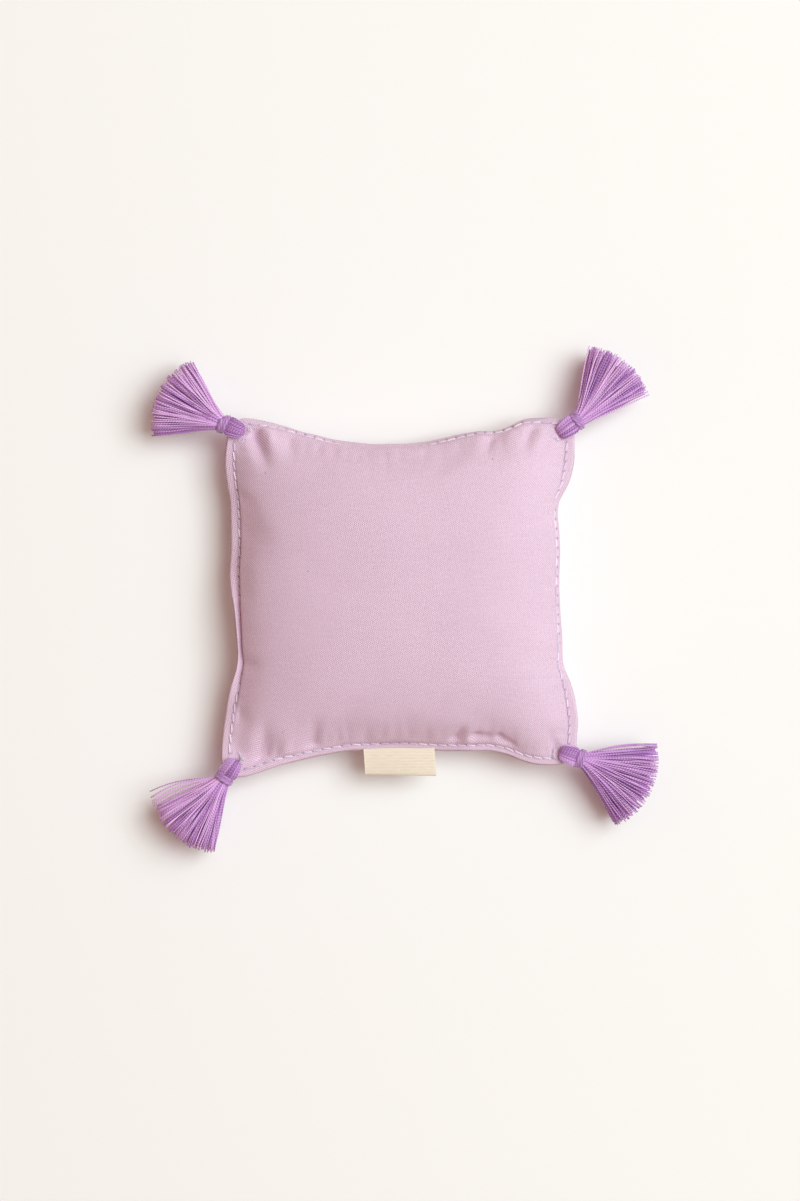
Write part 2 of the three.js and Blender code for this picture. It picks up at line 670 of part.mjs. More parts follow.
// One strand, from inside the root to its tip in the fan; the skirt bends about the origin.
function strandGeometry(index, { fan, aside }, length) {
  const place = strandPlace(index);
  const faceRadius = Math.sqrt(rootRadius ** 2 - ROOT_FACE ** 2) - STRAND_ROOT;
  const sideways = radians(aside) + place.x * radians(fan / 2);
  const rise = place.y * radians(SKIRT_RISE);
  const ragged = 1 - STRAND_RAGGED * (0.5 + 0.5 * Math.sin(12.9 * index));
  const tip = new THREE.Vector3(
    Math.cos(sideways) * Math.cos(rise),
    Math.sin(sideways) * Math.cos(rise),
    Math.sin(rise),
  ).multiplyScalar(length * ragged);
  const face = new THREE.Vector3(ROOT_FACE, place.x * faceRadius, place.y * faceRadius);
  const start = face.clone().addScaledVector(face.clone().sub(tip).normalize(), ROOT_FACE / 2);
  const width = (share) => {
    const half = THREE.MathUtils.lerp(STRAND_ROOT, STRAND_TIP, share) / 2;
    return [half, half];
  };
  return tube([start, tip], width, 3, new THREE.Vector3(0, 1, 0));
}

// The skirt: strands that leave the flat face of a round root.
function skirtGeometry(tassel, length) {
  const root = [];
  const rings = 6;
  const rootEnd = Math.acos(ROOT_FACE / rootRadius);
  for (let ring = 0; ring <= rings; ring += 1) {
    const turn = Math.PI - (Math.PI - rootEnd) * (ring / rings);
    root.push(new THREE.Vector2(rootRadius * Math.sin(turn), rootRadius * Math.cos(turn)));
  }
  root[0].x = 0;
  root.push(new THREE.Vector2(0, ROOT_FACE));
  const ball = new THREE.LatheGeometry(root, 12);
  ball.rotateZ(-Math.PI / 2);
  let solid = solidOf(ball);
  for (let index = 0; index < STRANDS; index += 1) {
    solid = solid.add(solidOf(strandGeometry(index, tassel, length)));
  }
  return geometryOf(solid);
}

// Each tassel lies along the X axis of its own group, turned to its heading about the hole.
function addTassels() {
  for (const tassel of TASSELS) {
    const { hole, reach } = cornerHole(tassel);
    const along = tasselStations(reach);
    const group = new THREE.Group();
    group.position.set(hole.x, hole.y, SEAM_HEIGHT);
    group.rotation.z = radians(tassel.heading);
    const name = `tassel_${tassel.corner}`;
    addPiece(group, `${name}_head`, headGeometry(along), FLOSS);
    addPiece(group, `${name}_binding`, wrapGeometry(along), BINDING);
    const skirt = new THREE.Group();
    skirt.position.x = along.bend;
    skirt.rotation.y = radians(SKIRT_DROOP);
    addPiece(skirt, `${name}_skirt`, skirtGeometry(tassel, SKIRT_REACH - along.bend), FLOSS);
    group.add(skirt);
    sachet.add(group);
  }
}

addPanels();
addStuffing();
addSeamThreads();
addLabel();
addTassels();

export default sachet;
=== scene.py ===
# %% [markdown]
# # A lavender sachet
# The sachet is a small square cotton cushion. Two panels are joined by a flat
# topstitched edge, a thread tassel is looped through each corner, and a folded
# tape label is caught in the lower seam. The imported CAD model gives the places
# and the moving bodies. This lesson dresses it in cloth and thread.

import bpy
import numpy as np
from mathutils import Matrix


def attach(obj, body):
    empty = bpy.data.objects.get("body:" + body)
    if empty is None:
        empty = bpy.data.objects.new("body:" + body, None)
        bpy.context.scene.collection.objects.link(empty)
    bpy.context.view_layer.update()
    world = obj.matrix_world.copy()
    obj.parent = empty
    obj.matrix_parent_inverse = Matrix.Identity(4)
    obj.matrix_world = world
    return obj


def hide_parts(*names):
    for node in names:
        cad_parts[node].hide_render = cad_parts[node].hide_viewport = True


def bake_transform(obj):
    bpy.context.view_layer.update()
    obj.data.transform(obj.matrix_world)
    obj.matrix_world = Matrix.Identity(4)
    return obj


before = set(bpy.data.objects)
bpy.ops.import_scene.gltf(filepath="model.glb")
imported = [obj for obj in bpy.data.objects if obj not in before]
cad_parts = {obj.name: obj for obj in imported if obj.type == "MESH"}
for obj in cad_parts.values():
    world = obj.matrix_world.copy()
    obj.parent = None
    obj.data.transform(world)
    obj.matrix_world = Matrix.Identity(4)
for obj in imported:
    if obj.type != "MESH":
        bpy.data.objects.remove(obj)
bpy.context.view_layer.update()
MM = 0.001

# %% [markdown]
# ## Camera, light and table
# The photograph looks straight down, so an unturned camera above the table gives
# its angle. The lens is set by the height of table that the picture takes in.
# A large lamp from the upper right, a wider fill beside it and a warm, even world
# give the soft tan shadow on the left. A point lamp would give a hard edge that
# isn't there.

# %% Camera above the table
SEAM_HEIGHT = 12.0
CAMERA_HEIGHT = 912.0
VIEW_HEIGHT = 338.7
CAMERA_Y = -1.55
FILM_HEIGHT = 36.0
NEAR_CLIP = 10.0


def deselect_all():
    bpy.ops.object.select_all(action="DESELECT")


deselect_all()
bpy.ops.object.camera_add(location=(0, CAMERA_Y * MM, CAMERA_HEIGHT * MM), rotation=(0, 0, 0))
camera = bpy.context.object
camera.data.sensor_fit = "VERTICAL"
camera.data.sensor_height = FILM_HEIGHT
camera.data.lens = FILM_HEIGHT * (CAMERA_HEIGHT - SEAM_HEIGHT) / VIEW_HEIGHT
camera.data.clip_start = NEAR_CLIP * MM
bpy.context.scene.camera = camera
bpy.context.scene.view_settings.view_transform = "Standard"
print("lens, mm:", round(camera.data.lens, 1))

# %% Soft lamps, even world and pale table
LAMPS = [  # place and size in m, power in W, colour
    ((1.42, 0.48, 2.60), 1.9, 67.5, (0.83, 0.97, 1.0)),
    ((1.1, 0.25, 2.0), 2.6, 17.5, (0.80, 0.97, 1.0)),
]
WORLD_COLOUR = (1.0, 0.60, 0.45, 1.0)
WORLD_STRENGTH = 0.345
TABLE_COLOUR = (0.965, 0.95, 0.925, 1.0)
TABLE_ROUGHNESS = 0.75
TABLE_RADIUS = 2.5
TABLE_SIDES = 96
TABLE_GAP = 0.2

for place, size, power, colour in LAMPS:
    bpy.ops.object.light_add(type="AREA", location=place)
    lamp = bpy.context.object
    lamp.data.size = size
    lamp.data.energy = power
    lamp.data.color = colour
    lamp.rotation_euler = (-lamp.location).to_track_quat("-Z", "Y").to_euler()

world = bpy.data.worlds.new("even_daylight")
world.use_nodes = True
daylight = world.node_tree.nodes["Background"]
daylight.inputs["Color"].default_value = WORLD_COLOUR
daylight.inputs["Strength"].default_value = WORLD_STRENGTH
bpy.context.scene.world = world

deselect_all()
bpy.ops.mesh.primitive_circle_add(vertices=TABLE_SIDES, radius=TABLE_RADIUS, fill_type="NGON",
                                  location=(0, 0, -TABLE_GAP * MM))
table = bpy.context.object
table.name = "table"
bpy.ops.object.transform_apply(location=True)
paint = bpy.data.materials.new("pale_table")
paint.use_nodes = True
coat = paint.node_tree.nodes["Principled BSDF"]
coat.inputs["Base Color"].default_value = TABLE_COLOUR
coat.inputs["Roughness"].default_value = TABLE_ROUGHNESS
table.data.materials.append(paint)
print("lamp powers, W:", [power for _, _, power, _ in LAMPS])

# %% [markdown]
# ## The shape of the stuffed cotton
# Stuffing lifts the middle of the cloth, and that draws each side in between its
# corners. The outline of each side was read from the photograph, as millimetres
# drawn in at places along the side. The CAD solids have nearly the same outline.
# A smooth rule of the cloth's own flat coordinates gives every point its place,
# which a free sculpt would not.

# %% Sides that are drawn in
HALF = 50.0
SIDE_DRAW = {  # mm along the side from its middle, mm drawn in
    "top": [(-50, -.2), (-46, -.1), (-42, .55), (-37, 1.45), (-32, 2.6), (-28, 3.8), (-24, 4.5),
            (-20, 5.6), (-16, 6), (-11, 6.5), (-7, 6.85), (-3, 6.55), (1, 6.65), (6, 6.3),
            (10, 5.7), (14, 4.75), (18, 3.9), (23, 3), (27, 3.3), (31, 2.2), (35, .2), (39, .2),
            (44, 0), (50, .1)],
    "bottom": [(-50, -1.7), (-45, -1.6), (-42, -.8), (-34, 2.1), (-25, 4.3), (-15, 6.3), (0, 6.9),
               (13, 6.2), (22, 6.2), (25, 6.4), (30, 5.3), (35, 3.2), (38, 2.4), (46, 1.9),
               (50, 2.1)],
    "left": [(-50, -.7), (-47, -.7), (-38, .1), (-30, 1.2), (-25, 2.5), (-21, 3.6), (-17, 3.8),
             (-13, 3.5), (-4, 2.9), (0, 2.4), (6, 2), (13, 2.3), (21, 2.1), (26, 2), (30, 1.3),
             (35, .6), (39, .7), (43, 1.2), (50, 1.2)],
    "right": [(-50, .1), (-41, .3), (-37, -.1), (-32, .5), (-28, 1.2), (-24, 2.4), (-20, 3.8),
              (-15, 3.7), (-11, 3.7), (-7, 4.1), (0, 4.35), (6, 4.4), (12, 4.15), (18, 4.45),
              (23, 5.1), (27, 4.9), (29, 3.6), (31, 2.5), (35, 1.5), (38, .95), (41, 1), (46, .6),
              (50, .6)],
}
LINE_STEP = 0.25
ALONG = np.arange(-60, 60.01, LINE_STEP)


def ease(value):
    """A step from 0 to 1 with no corner."""
    value = np.clip(value, 0, 1)
    return value * value * (3 - 2 * value)


def softened(table, spread):
    """Each side's pairs of place and value, made into a smooth line."""
    reach = np.arange(-3 * spread, 3 * spread + 0.01, LINE_STEP)
    weight = np.exp(-0.5 * (reach / spread) ** 2)
    lines = {}
    for side, pairs in table.items():
        line = np.pad(np.interp(ALONG, *zip(*pairs)), len(reach) // 2, mode="edge")
        lines[side] = np.convolve(line, weight / weight.sum(), mode="valid")
    return lines


def line_at(lines, side, along):
    """The value of a side's line at places along it."""
    return np.interp(along, ALONG, lines[side])


SIDE_LINES = softened(SIDE_DRAW, 1.2)


def drawn_in(side, along):
    """How far a side is drawn in at a place along it."""
    return line_at(SIDE_LINES, side, along)


print("drawn in at mid-side, mm:", {s: round(float(drawn_in(s, 0.0)), 2) for s in SIDE_DRAW})

# %% Crown, flange and roll
FLANGE = 2.3
SEAM_SHARE = 1 - FLANGE / HALF
FACE_RISE = 16.5
BACK_RISE = 13.0
FLANGE_TOP = 0.8
CORNER_TUCK = 3.8
CORNER_TURN = 20
FOLD_RADIUS = 0.38
FOLD_LIMIT = 0.98
ROLL_REACH = 1.8
BACK_ROLL = 0.6
WIDER_REACH = 7.0
ROLL = {  # mm by which the crown bulges out towards its seam
    "top": [(-50, 0), (-36, .4), (-24, .9), (-17, 1.7), (-8, 2.1), (0, 2.1), (6, 1.7), (12, .8),
            (20, .5), (30, .4), (50, 0)],
    "bottom": [(-50, 0), (-36, .4), (0, .6), (36, .4), (50, 0)],
    "left": [(-50, 0), (-40, .3), (-30, .6), (-24, 1.6), (-15, 2.2), (-4, 2.1), (2, 1.7),
             (10, 1.4), (17, 1), (21, .8), (25, 1.3), (29, 1.4), (33, .9), (42, .3), (50, 0)],
    "right": [(-50, 0), (-34, .3), (-26, .6), (-18, 1.1), (0, 1.2), (18, 1.2), (24, 1.4),
              (28, 1.2), (33, .5), (50, 0)],
}
TILT = {  # degrees by which the flange is turned down
    "top": [(-50, 0), (-43, 0), (-39, 16), (-35, 40), (-32, 52), (-24, 56), (-20, 58), (-11, 60),
            (-7, 60), (4, 60), (10, 60), (14, 62), (18, 64), (27, 68), (31, 66), (34, 58),
            (38, 30), (42, 2), (50, 0)],
    "bottom": [(-50, 0), (-40, 4), (-20, 10), (0, 12), (20, 10), (40, 4), (50, 0)],
    "left": [(-50, 0), (-43, 0), (-38, 14), (-30, 16), (-26, 0), (-22, -34), (-17, -48),
             (-10, -46), (-3, -40), (2, -20), (7, 10), (12, 26), (20, 28), (30, 28), (38, 14),
             (43, 0), (50, 0)],
    "right": [(-50, 0), (-32, 4), (-28, 10), (-24, 24), (-19, 46), (-14, 60), (0, 64), (18, 64),
              (23, 62), (27, 50), (31, 20), (36, 6), (50, 0)],
}
WIDER = {  # mm by which the flange is wider than its sewn width
    "top": [(-50, 0), (-45, -.3), (-41, -.8), (-30, -.7), (-20, -.1), (-14, .7), (3, .8), (9, .2),
            (18, -.3), (28, -.7), (36, -1), (41, -.9), (46, -.3), (50, 0)],
    "bottom": [(-50, 0), (50, 0)],
    "left": [(-50, 0), (-42, .2), (-30, .6), (-10, .8), (20, .9), (36, .9), (44, .2), (50, 0)],
    "right": [(-50, 0), (-40, .3), (-30, .5), (-24, .2), (-18, 0), (28, 0), (34, .6), (40, .6),
              (44, .1), (50, 0)],
}
ROLL_LINES = softened(ROLL, 1.5)
TILT_LINES = softened(TILT, 2.5)
WIDER_LINES = softened(WIDER, 2.0)
WAVE_STARTS = {"top": 1.3, "bottom": 2.9, "left": 4.1, "right": 0.4}
WAVE_HEIGHT = 0.24
WAVE_FADE = (30, 40)
SIDE_OUT = {"left": (-1, 0), "right": (1, 0), "top": (0, 1), "bottom": (0, -1)}


def flange_wave(side, along):
    """The slow ripple of a pressed edge, none at the corners."""
    start, (fade_from, fade_to) = WAVE_STARTS[side], WAVE_FADE
    ripple = np.sin(along / 5.3 + start) + 0.7 * np.sin(along / 3.1 + 2.3 * start)
    fade = ease((np.abs(along) - fade_from) / (fade_to - fade_from))
    return WAVE_HEIGHT * ripple * (1 - fade)


def plan(a, b):
    """Where a point of the flat cloth lies, seen from above."""
    tuck = CORNER_TUCK * np.sqrt(0.5) * np.abs(a * b) ** CORNER_TURN
    left, right = drawn_in("left", HALF * b), drawn_in("right", HALF * b)
    bottom, top = drawn_in("bottom", HALF * a), drawn_in("top", HALF * a)
    x = HALF * a - a * np.abs(a) * np.where(a < 0, left, right) - np.sign(a) * tuck
    y = HALF * b - b * np.abs(b) * np.where(b < 0, bottom, top) - np.sign(b) * tuck
    return x, y


CROWN_SHIFT = (0.12, 0.06)
CROWN_FLATNESS = 2.7


def puff(a, b):
    """The crown of the stuffing: 0 at the seam and 1 at its top, right of the middle."""
    a, b = (np.clip(share / SEAM_SHARE, -1, 1) for share in (a, b))
    a, b = (np.abs(share - shift * (1 - share ** 2))
            for share, shift in zip((a, b), CROWN_SHIFT))
    dome = np.clip((1 - a ** CROWN_FLATNESS) * (1 - b ** CROWN_FLATNESS), 0, 1)
    return dome ** (0.6 + 0.4 * (a * b) ** 2)


def cloth_form(a, b, up, rise, spread=0.0):
    """The outer surface of a panel in mm: up is 1 for the face and -1 for the back."""
    x, y = plan(a, b)
    z = up * (FLANGE_TOP + rise * puff(a, b))
    for side, (out_x, out_y) in SIDE_OUT.items():
        across, along = (a * out_x, HALF * b) if out_x else (b * out_y, HALF * a)
        inside = HALF * np.clip(SEAM_SHARE - across, 0, None)
        outside = HALF * np.clip(across - SEAM_SHARE, 0, None)
        near = inside / ROLL_REACH
        roll = line_at(ROLL_LINES, side, along) * (1.0 if up > 0 else BACK_ROLL)
        tilt = np.radians(line_at(TILT_LINES, side, along))
        wider = line_at(WIDER_LINES, side, along) * np.exp(-(inside / WIDER_REACH) ** 2)
        shift = roll * near * np.exp(1 - near) - outside * (1 - np.cos(tilt))
        shift += spread * outside / FLANGE - wider * np.clip(1 - outside / FLANGE, 0, 1)
        x, y = x + out_x * shift, y + out_y * shift
        z = z - outside * np.sin(tilt) + flange_wave(side, along) * outside / FLANGE
        fold = np.clip(1 - HALF * (1 - across) / FOLD_RADIUS, 0, 1)
        z = z - up * FOLD_RADIUS * (1 - np.sqrt(1 - FOLD_LIMIT * fold ** 2))
    return np.stack([x, y, z + SEAM_HEIGHT], axis=-1)


crown_top = cloth_form(np.zeros(1), np.zeros(1), 1, FACE_RISE)[0, 2]
print("crown top, mm:", round(float(crown_top), 2))

# %% [markdown]
# ## Swelling the cotton
# Padded cloth is best made by Blender's Cloth: pressure lifts it, and cloth that
# is a little too long for its seam gathers into small puckers beside it. The
# border is pinned to the seam. A coarse grid at ten times the size is simulated,
# its movement is capped, and that movement is carried over to the finer panel.

# %% Grids for the cloth
CROWN_SPANS = 70
FLANGE_SHARES = [0.962, 0.972, 0.982, 0.9895, 0.9935, 0.9965, 0.9988, 1.0]


def crown_stations(spans):
    """Places across the crown, closer together beside the seam."""
    even = np.linspace(-1, 1, spans + 1)
    return SEAM_SHARE * (0.5 * even + 0.5 * np.sin(np.pi * even / 2))


fine_crown = crown_stations(2 * CROWN_SPANS)
flange = np.array(FLANGE_SHARES)
stations = np.concatenate([-flange[::-1], fine_crown, flange])


def pick(piece):
    """Selects one piece and makes it the active one."""
    deselect_all()
    piece.select_set(True)
    bpy.context.view_layer.objects.active = piece


def place_points(piece, points):
    """Moves every vertex to its place, given in metres."""
    piece.data.vertices.foreach_set("co", np.asarray(points, np.float32).ravel())
    piece.data.update()


def points_of(piece):
    """Every vertex's place, in metres."""
    points = np.empty(3 * len(piece.data.vertices), np.float32)
    piece.data.vertices.foreach_get("co", points)
    return points.reshape(-1, 3).astype(float)


def named(name):
    """The piece that was just added, given its name."""
    piece = bpy.context.object
    piece.name = piece.data.name = name
    return piece


def cloth_grid(name, rows, columns):
    """A flat grid and, for each of its vertices, the row and column."""
    deselect_all()
    bpy.ops.mesh.primitive_grid_add(x_subdivisions=columns - 1, y_subdivisions=rows - 1, size=2)
    piece = named(name)
    flat = points_of(piece) / 2 + 0.5
    column = np.rint(flat[:, 0] * (columns - 1)).astype(int)
    row = np.rint(flat[:, 1] * (rows - 1)).astype(int)
    return piece, row, column


print("stations across a panel:", len(stations))

# %% Cloth simulation of one crown
CLOTH_SCALE = 10.0
CLOTH_PRESSURE = 1.2
CLOTH_SPARE = -0.018
CLOTH_FRAMES = 20
CLOTH_CAP = 1.3
CLOTH_BENDING = 0.6
CLOTH_SMOOTHING = 8


def apply_modifier(piece, modifier):
    """Makes what a modifier does part of the mesh."""
    pick(piece)
    bpy.ops.object.modifier_apply(modifier=modifier.name)


def swollen(up, rise):
    """How far pressure and spare cloth move each point of a crown, in mm."""
    across = crown_stations(CROWN_SPANS)
    b, a = np.meshgrid(across, across, indexing="ij")
    start = cloth_form(a, b, up, rise)
    piece, row, column = cloth_grid("cloth_trial", len(across), len(across))
    place_points(piece, start[row, column] * MM * CLOTH_SCALE)
    if up < 0:
        piece.data.flip_normals()
    pins = piece.vertex_groups.new(name="seam")
    edge = np.isin(row, (0, len(across) - 1)) | np.isin(column, (0, len(across) - 1))
    pins.add(np.flatnonzero(edge).tolist(), 1.0, "ADD")
    cloth = piece.modifiers.new("Cloth", "CLOTH")
    cloth.settings.vertex_group_mass = "seam"
    cloth.settings.use_pressure = True
    cloth.settings.uniform_pressure_force = CLOTH_PRESSURE
    cloth.settings.shrink_min = CLOTH_SPARE
    cloth.settings.bending_stiffness = CLOTH_BENDING
    cloth.settings.effector_weights.gravity = 0
    for number in range(1, CLOTH_FRAMES + 1):
        bpy.context.scene.frame_set(number)
    apply_modifier(piece, cloth)
    moved = np.zeros_like(start)
    moved[row, column] = points_of(piece) / (MM * CLOTH_SCALE) - start[row, column]
    bpy.data.objects.remove(piece)
    bpy.context.scene.frame_set(1)
    length = np.maximum(np.linalg.norm(moved, axis=-1, keepdims=True), 1e-9)
    print("cloth moved, mm: middle", round(float(np.median(length)), 2),
          "most", round(float(length.max()), 2))
    moved *= CLOTH_CAP * np.tanh(length / CLOTH_CAP) / length
    for _ in range(CLOTH_SMOOTHING):
        near = moved[1:-1, :-2] + moved[1:-1, 2:] + moved[:-2, 1:-1] + moved[2:, 1:-1]
        moved[1:-1, 1:-1] = 0.5 * moved[1:-1, 1:-1] + 0.125 * near
    return moved


def midpoints(coarse):
    """Adds a row between each two rows, on a smooth curve through them."""
    edged = np.concatenate([2 * coarse[:1] - coarse[1:2], coarse, 2 * coarse[-1:] - coarse[-2:-1]])
    between = (9 * (edged[1:-2] + edged[2:-1]) - edged[:-3] - edged[3:]) / 16
    fine = np.empty((2 * len(coarse) - 1, *coarse.shape[1:]))
    fine[0::2], fine[1::2] = coarse, between
    return fine


def cloth_movement(up, rise):
    """The simulated movement on the fine panel, none on its flange."""
    rim = len(FLANGE_SHARES)
    movement = np.zeros((len(stations), len(stations), 3))
    coarse = swollen(up, rise)
    fine = midpoints(midpoints(coarse).swapaxes(0, 1)).swapaxes(0, 1)
    movement[rim:-rim, rim:-rim] = fine
    return movement


CROWN_START = 0.95  # the share of its rise that a crown has before it swells
face_movement = cloth_movement(1, FACE_RISE * CROWN_START)
back_movement = cloth_movement(-1, BACK_RISE * CROWN_START)

# %% [markdown]
# ## Puckers
# Real seams also have their own folds where the maker's hands pulled the cloth:
# a deep one by the upper left tassel and a row of them along the lower edge.
# Each is a short valley, or a ridge, pressed along the surface's normal as a
# sculpt brush would. Small gathers from a seeded generator fill the rest.

# %% Named folds and small gathers
FACE_FOLDS = [  # from, to, depth (a ridge is negative), half width, all mm
    ((-41.4, 45.2), (-36.2, 33.5), 2.0, 2.3),
    ((-37.6, 46.0), (-33.4, 37.5), -1.3, 2.1),
    ((-31.0, 43.6), (-29.4, 36.0), 0.8, 2.2),
    ((25.4, 45.0), (23.6, 37.6), 1.1, 2.0),
    ((31.0, 46.0), (29.6, 40.0), -0.6, 1.9),
    ((36.7, 46.4), (34.4, 38.0), 1.4, 2.1),
    ((41.6, 43.0), (38.6, 38.0), 0.6, 1.6),
    ((-38.9, -46.0), (-37.4, -33.0), 1.5, 2.7),
    ((-32.4, -45.5), (-30.6, -36.0), -0.8, 2.5),
    ((-24.8, -43.4), (-22.8, -33.0), 1.2, 2.7),
    ((-10.0, -42.5), (-9.2, -37.0), 0.5, 2.2),
    ((4.0, -42.2), (10.0, -38.4), 0.5, 2.0),
    ((14.6, -42.6), (18.2, -36.0), 1.9, 1.4),
    ((18.8, -42.4), (20.8, -37.6), -0.8, 1.5),
    ((20.5, -39.8), (28.0, -40.2), 1.3, 1.3),
    ((28.0, -40.2), (34.0, -44.0), 1.3, 1.3),
    ((44.0, -43.0), (41.6, -37.0), 0.9, 1.6),
    ((-46.0, 28.0), (-39.0, 24.5), 0.7, 2.0),
    ((-45.2, 18.5), (-40.0, 17.5), 0.5, 1.8),
    ((-44.0, -19.0), (-38.5, -21.0), 0.7, 2.0),
    ((-46.2, -34.0), (-40.5, -35.5), 0.7, 2.0),
]
GATHER_STEP = 3.4
GATHER_REACH = 41.0
GATHER_INSET = 1.2
GATHER_SEED = 7


def small_gathers(seed):
    """Short shallow valleys across every side, at uneven steps."""
    chance = np.random.default_rng(seed)
    folds = []
    for side, (out_x, out_y) in SIDE_OUT.items():
        along = -GATHER_REACH
        while along < GATHER_REACH:
            along += GATHER_STEP * chance.uniform(0.6, 1.5)
            inner = chance.uniform(3.0, 7.5)
            lean = chance.uniform(-1.4, 1.4)
            depth, width = chance.uniform(0.08, 0.34), chance.uniform(0.7, 1.3)
            ends = []
            for step, inset in ((0.0, GATHER_INSET), (lean, GATHER_INSET + inner)):
                place = along + step
                rim = HALF * SEAM_SHARE - float(drawn_in(side, place)) - inset
                ends.append((out_x * rim, place) if out_x else (place, out_y * rim))
            folds.append((*ends, depth, width))
    return folds


print("named folds:", len(FACE_FOLDS), "small gathers:", len(small_gathers(GATHER_SEED)))

# %% Folds pressed into the cloth
FOLD_MARGIN = 1.6
BACK_SPREAD = 0.3
REST_SOFTNESS = 0.5
b_share, a_share = np.meshgrid(stations, stations, indexing="ij")


def outward_of(surface, up):
    """The normals of a panel's grid, out of the cushion."""
    normal = np.cross(np.gradient(surface, axis=1), np.gradient(surface, axis=0)) * up
    return normal / np.maximum(np.linalg.norm(normal, axis=-1, keepdims=True), 1e-9)


def press_folds(surface, folds, up):
    """Moves the surface along its normal by every fold."""
    depth = np.zeros(surface.shape[:2])
    for start, end, press, width in folds:
        start, end = np.array(start), np.array(end)
        line = end - start
        offset = surface[..., :2] - start
        share = (offset @ line) / (line @ line)
        across = np.linalg.norm(offset - np.clip(share, 0, 1)[..., None] * line, axis=-1) / width
        fade = 1 - ease(share - 0.1)
        depth += press * fade * np.exp(-across ** 2) * (1 - 0.35 * across ** 2)
    inside = HALF * (SEAM_SHARE - np.maximum(np.abs(a_share), np.abs(b_share)))
    depth *= ease(inside / FOLD_MARGIN)
    return surface - outward_of(surface, up) * depth[..., None]


face_surface = cloth_form(a_share, b_share, 1, FACE_RISE * CROWN_START) + face_movement
face_surface = press_folds(face_surface, FACE_FOLDS + small_gathers(GATHER_SEED), 1)
back_surface = cloth_form(a_share, b_share, -1, BACK_RISE * CROWN_START, BACK_SPREAD)
back_surface = press_folds(back_surface + back_movement, small_gathers(GATHER_SEED + 1), -1)
height = back_surface[..., 2]
rested = 0.5 * (height + np.sqrt(height ** 2 + REST_SOFTNESS ** 2)) - 0.5 * REST_SOFTNESS
back_surface[..., 2] = np.maximum(rested, 0)
print("face top, mm:", round(float(face_surface[..., 2].max()), 2))

# %% [markdown]
# ## The two cotton panels
# Each panel is one grid laid on that surface. A hole is opened at each corner for
# the tassel, and Solidify gives the cloth its thickness. On the flange the cloth
# is turned in and so twice as thick, which a vertex group tells the modifier.

# %% Panels with corner holes and thickness
CLOTH_THICK = 0.7
HOLE_RADIUS = 1.3
HOLES = {
    "top_left": (-45.0482, 46.1855),
    "top_right": (45.5808, 45.9660),
    "bottom_left": (-46.6426, -47.5275),
    "bottom_right": (46.0682, -44.4670),
}
TURN_FROM = SEAM_SHARE - 0.004
TURN_SPAN = 0.012


def edit_mesh(piece, operator, chosen=None, mode="VERT", **settings):
    """Runs a mesh operator on the chosen vertices or edges, or else on all of them."""
    pick(piece)
    bpy.ops.object.mode_set(mode="EDIT")
    bpy.ops.mesh.select_mode(type=mode)
    bpy.ops.mesh.select_all(action="SELECT" if chosen is None else "DESELECT")
    if chosen is not None:
        bpy.ops.object.mode_set(mode="OBJECT")
        parts = piece.data.vertices if mode == "VERT" else piece.data.edges
        parts.foreach_set("select", chosen)
        bpy.ops.object.mode_set(mode="EDIT")
    operator(**settings)
    bpy.ops.object.mode_set(mode="OBJECT")


def map_corners(piece, name, rule):
    """Gives a piece one map, by a rule for the vertices at the corners of its faces."""
    for layer in [layer.name for layer in piece.data.uv_layers]:
        piece.data.uv_layers.remove(piece.data.uv_layers[layer])
    corner = np.empty(len(piece.data.loops), int)
    piece.data.loops.foreach_get("vertex_index", corner)
    made = piece.data.uv_layers.new(name=name)
    made.data.foreach_set("uv", rule(corner).astype(np.float32).ravel())


def open_holes(piece):
    """Deletes the cloth inside each corner's hole and rounds the rim."""
    points = points_of(piece)[:, :2] / MM
    inside = np.zeros(len(points), bool)
    for hole in HOLES.values():
        inside |= np.linalg.norm(points - hole, axis=1) < HOLE_RADIUS
    edit_mesh(piece, bpy.ops.mesh.delete, inside, type="VERT")
    points = points_of(piece)
    sides = [pair for polygon in piece.data.polygons for pair in polygon.edge_keys]
    pairs, count = np.unique(sides, axis=0, return_counts=True)
    rim = np.zeros(len(points), bool)
    rim[pairs[count == 1].ravel()] = True
    for hole in HOLES.values():
        offset = points[:, :2] / MM - hole
        reach = np.linalg.norm(offset, axis=1)
        near = rim & (reach < 2 * HOLE_RADIUS)
        points[near, :2] = (hole + offset[near] / reach[near, None] * HOLE_RADIUS) * MM
    place_points(piece, points)


def cotton_panel(name, surface, up):
    """One panel: its grid, its map of the flat cloth, its holes and its thickness."""
    piece, row, column = cloth_grid(name, len(stations), len(stations))
    place_points(piece, surface[row, column] * MM)
    flat = np.stack([stations[column], stations[row]], axis=-1)
    map_corners(piece, "cloth", lambda corner: flat[corner] / 2 + 0.5)
    if up < 0:
        piece.data.flip_normals()
    doubled = piece.vertex_groups.new(name="turned_in")
    share = 0.5 + 0.5 * ease((np.abs(flat).max(axis=1) - TURN_FROM) / TURN_SPAN)
    for vertex, value in enumerate(share):
        doubled.add([vertex], float(value), "REPLACE")
    open_holes(piece)
    thick = piece.modifiers.new("Cloth thickness", "SOLIDIFY")
    thick.thickness = CLOTH_THICK * MM
    thick.offset = -1
    thick.vertex_group = "turned_in"
    apply_modifier(piece, thick)
    bpy.ops.object.shade_smooth()
    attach(piece, "sachet")
    print(name, "faces:", len(piece.data.polygons))
    return piece


face_cover = cotton_panel("face_cover", face_surface, 1)
back_cover = cotton_panel("back_cover", back_surface, -1)
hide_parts("face_panel")
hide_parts("back_panel")

# %% [markdown]
# ## Threads
# Stitches, loops, bindings and tassel strands are all thread. One thread is
# modelled from a cylinder cut into rings, an Array makes as many copies as are
# needed, and each copy is laid along its own path. Curves would do the same, but
# here every thread keeps a map of its length and turn for the twist of its plies.

# %% One thread, copied and laid along its paths


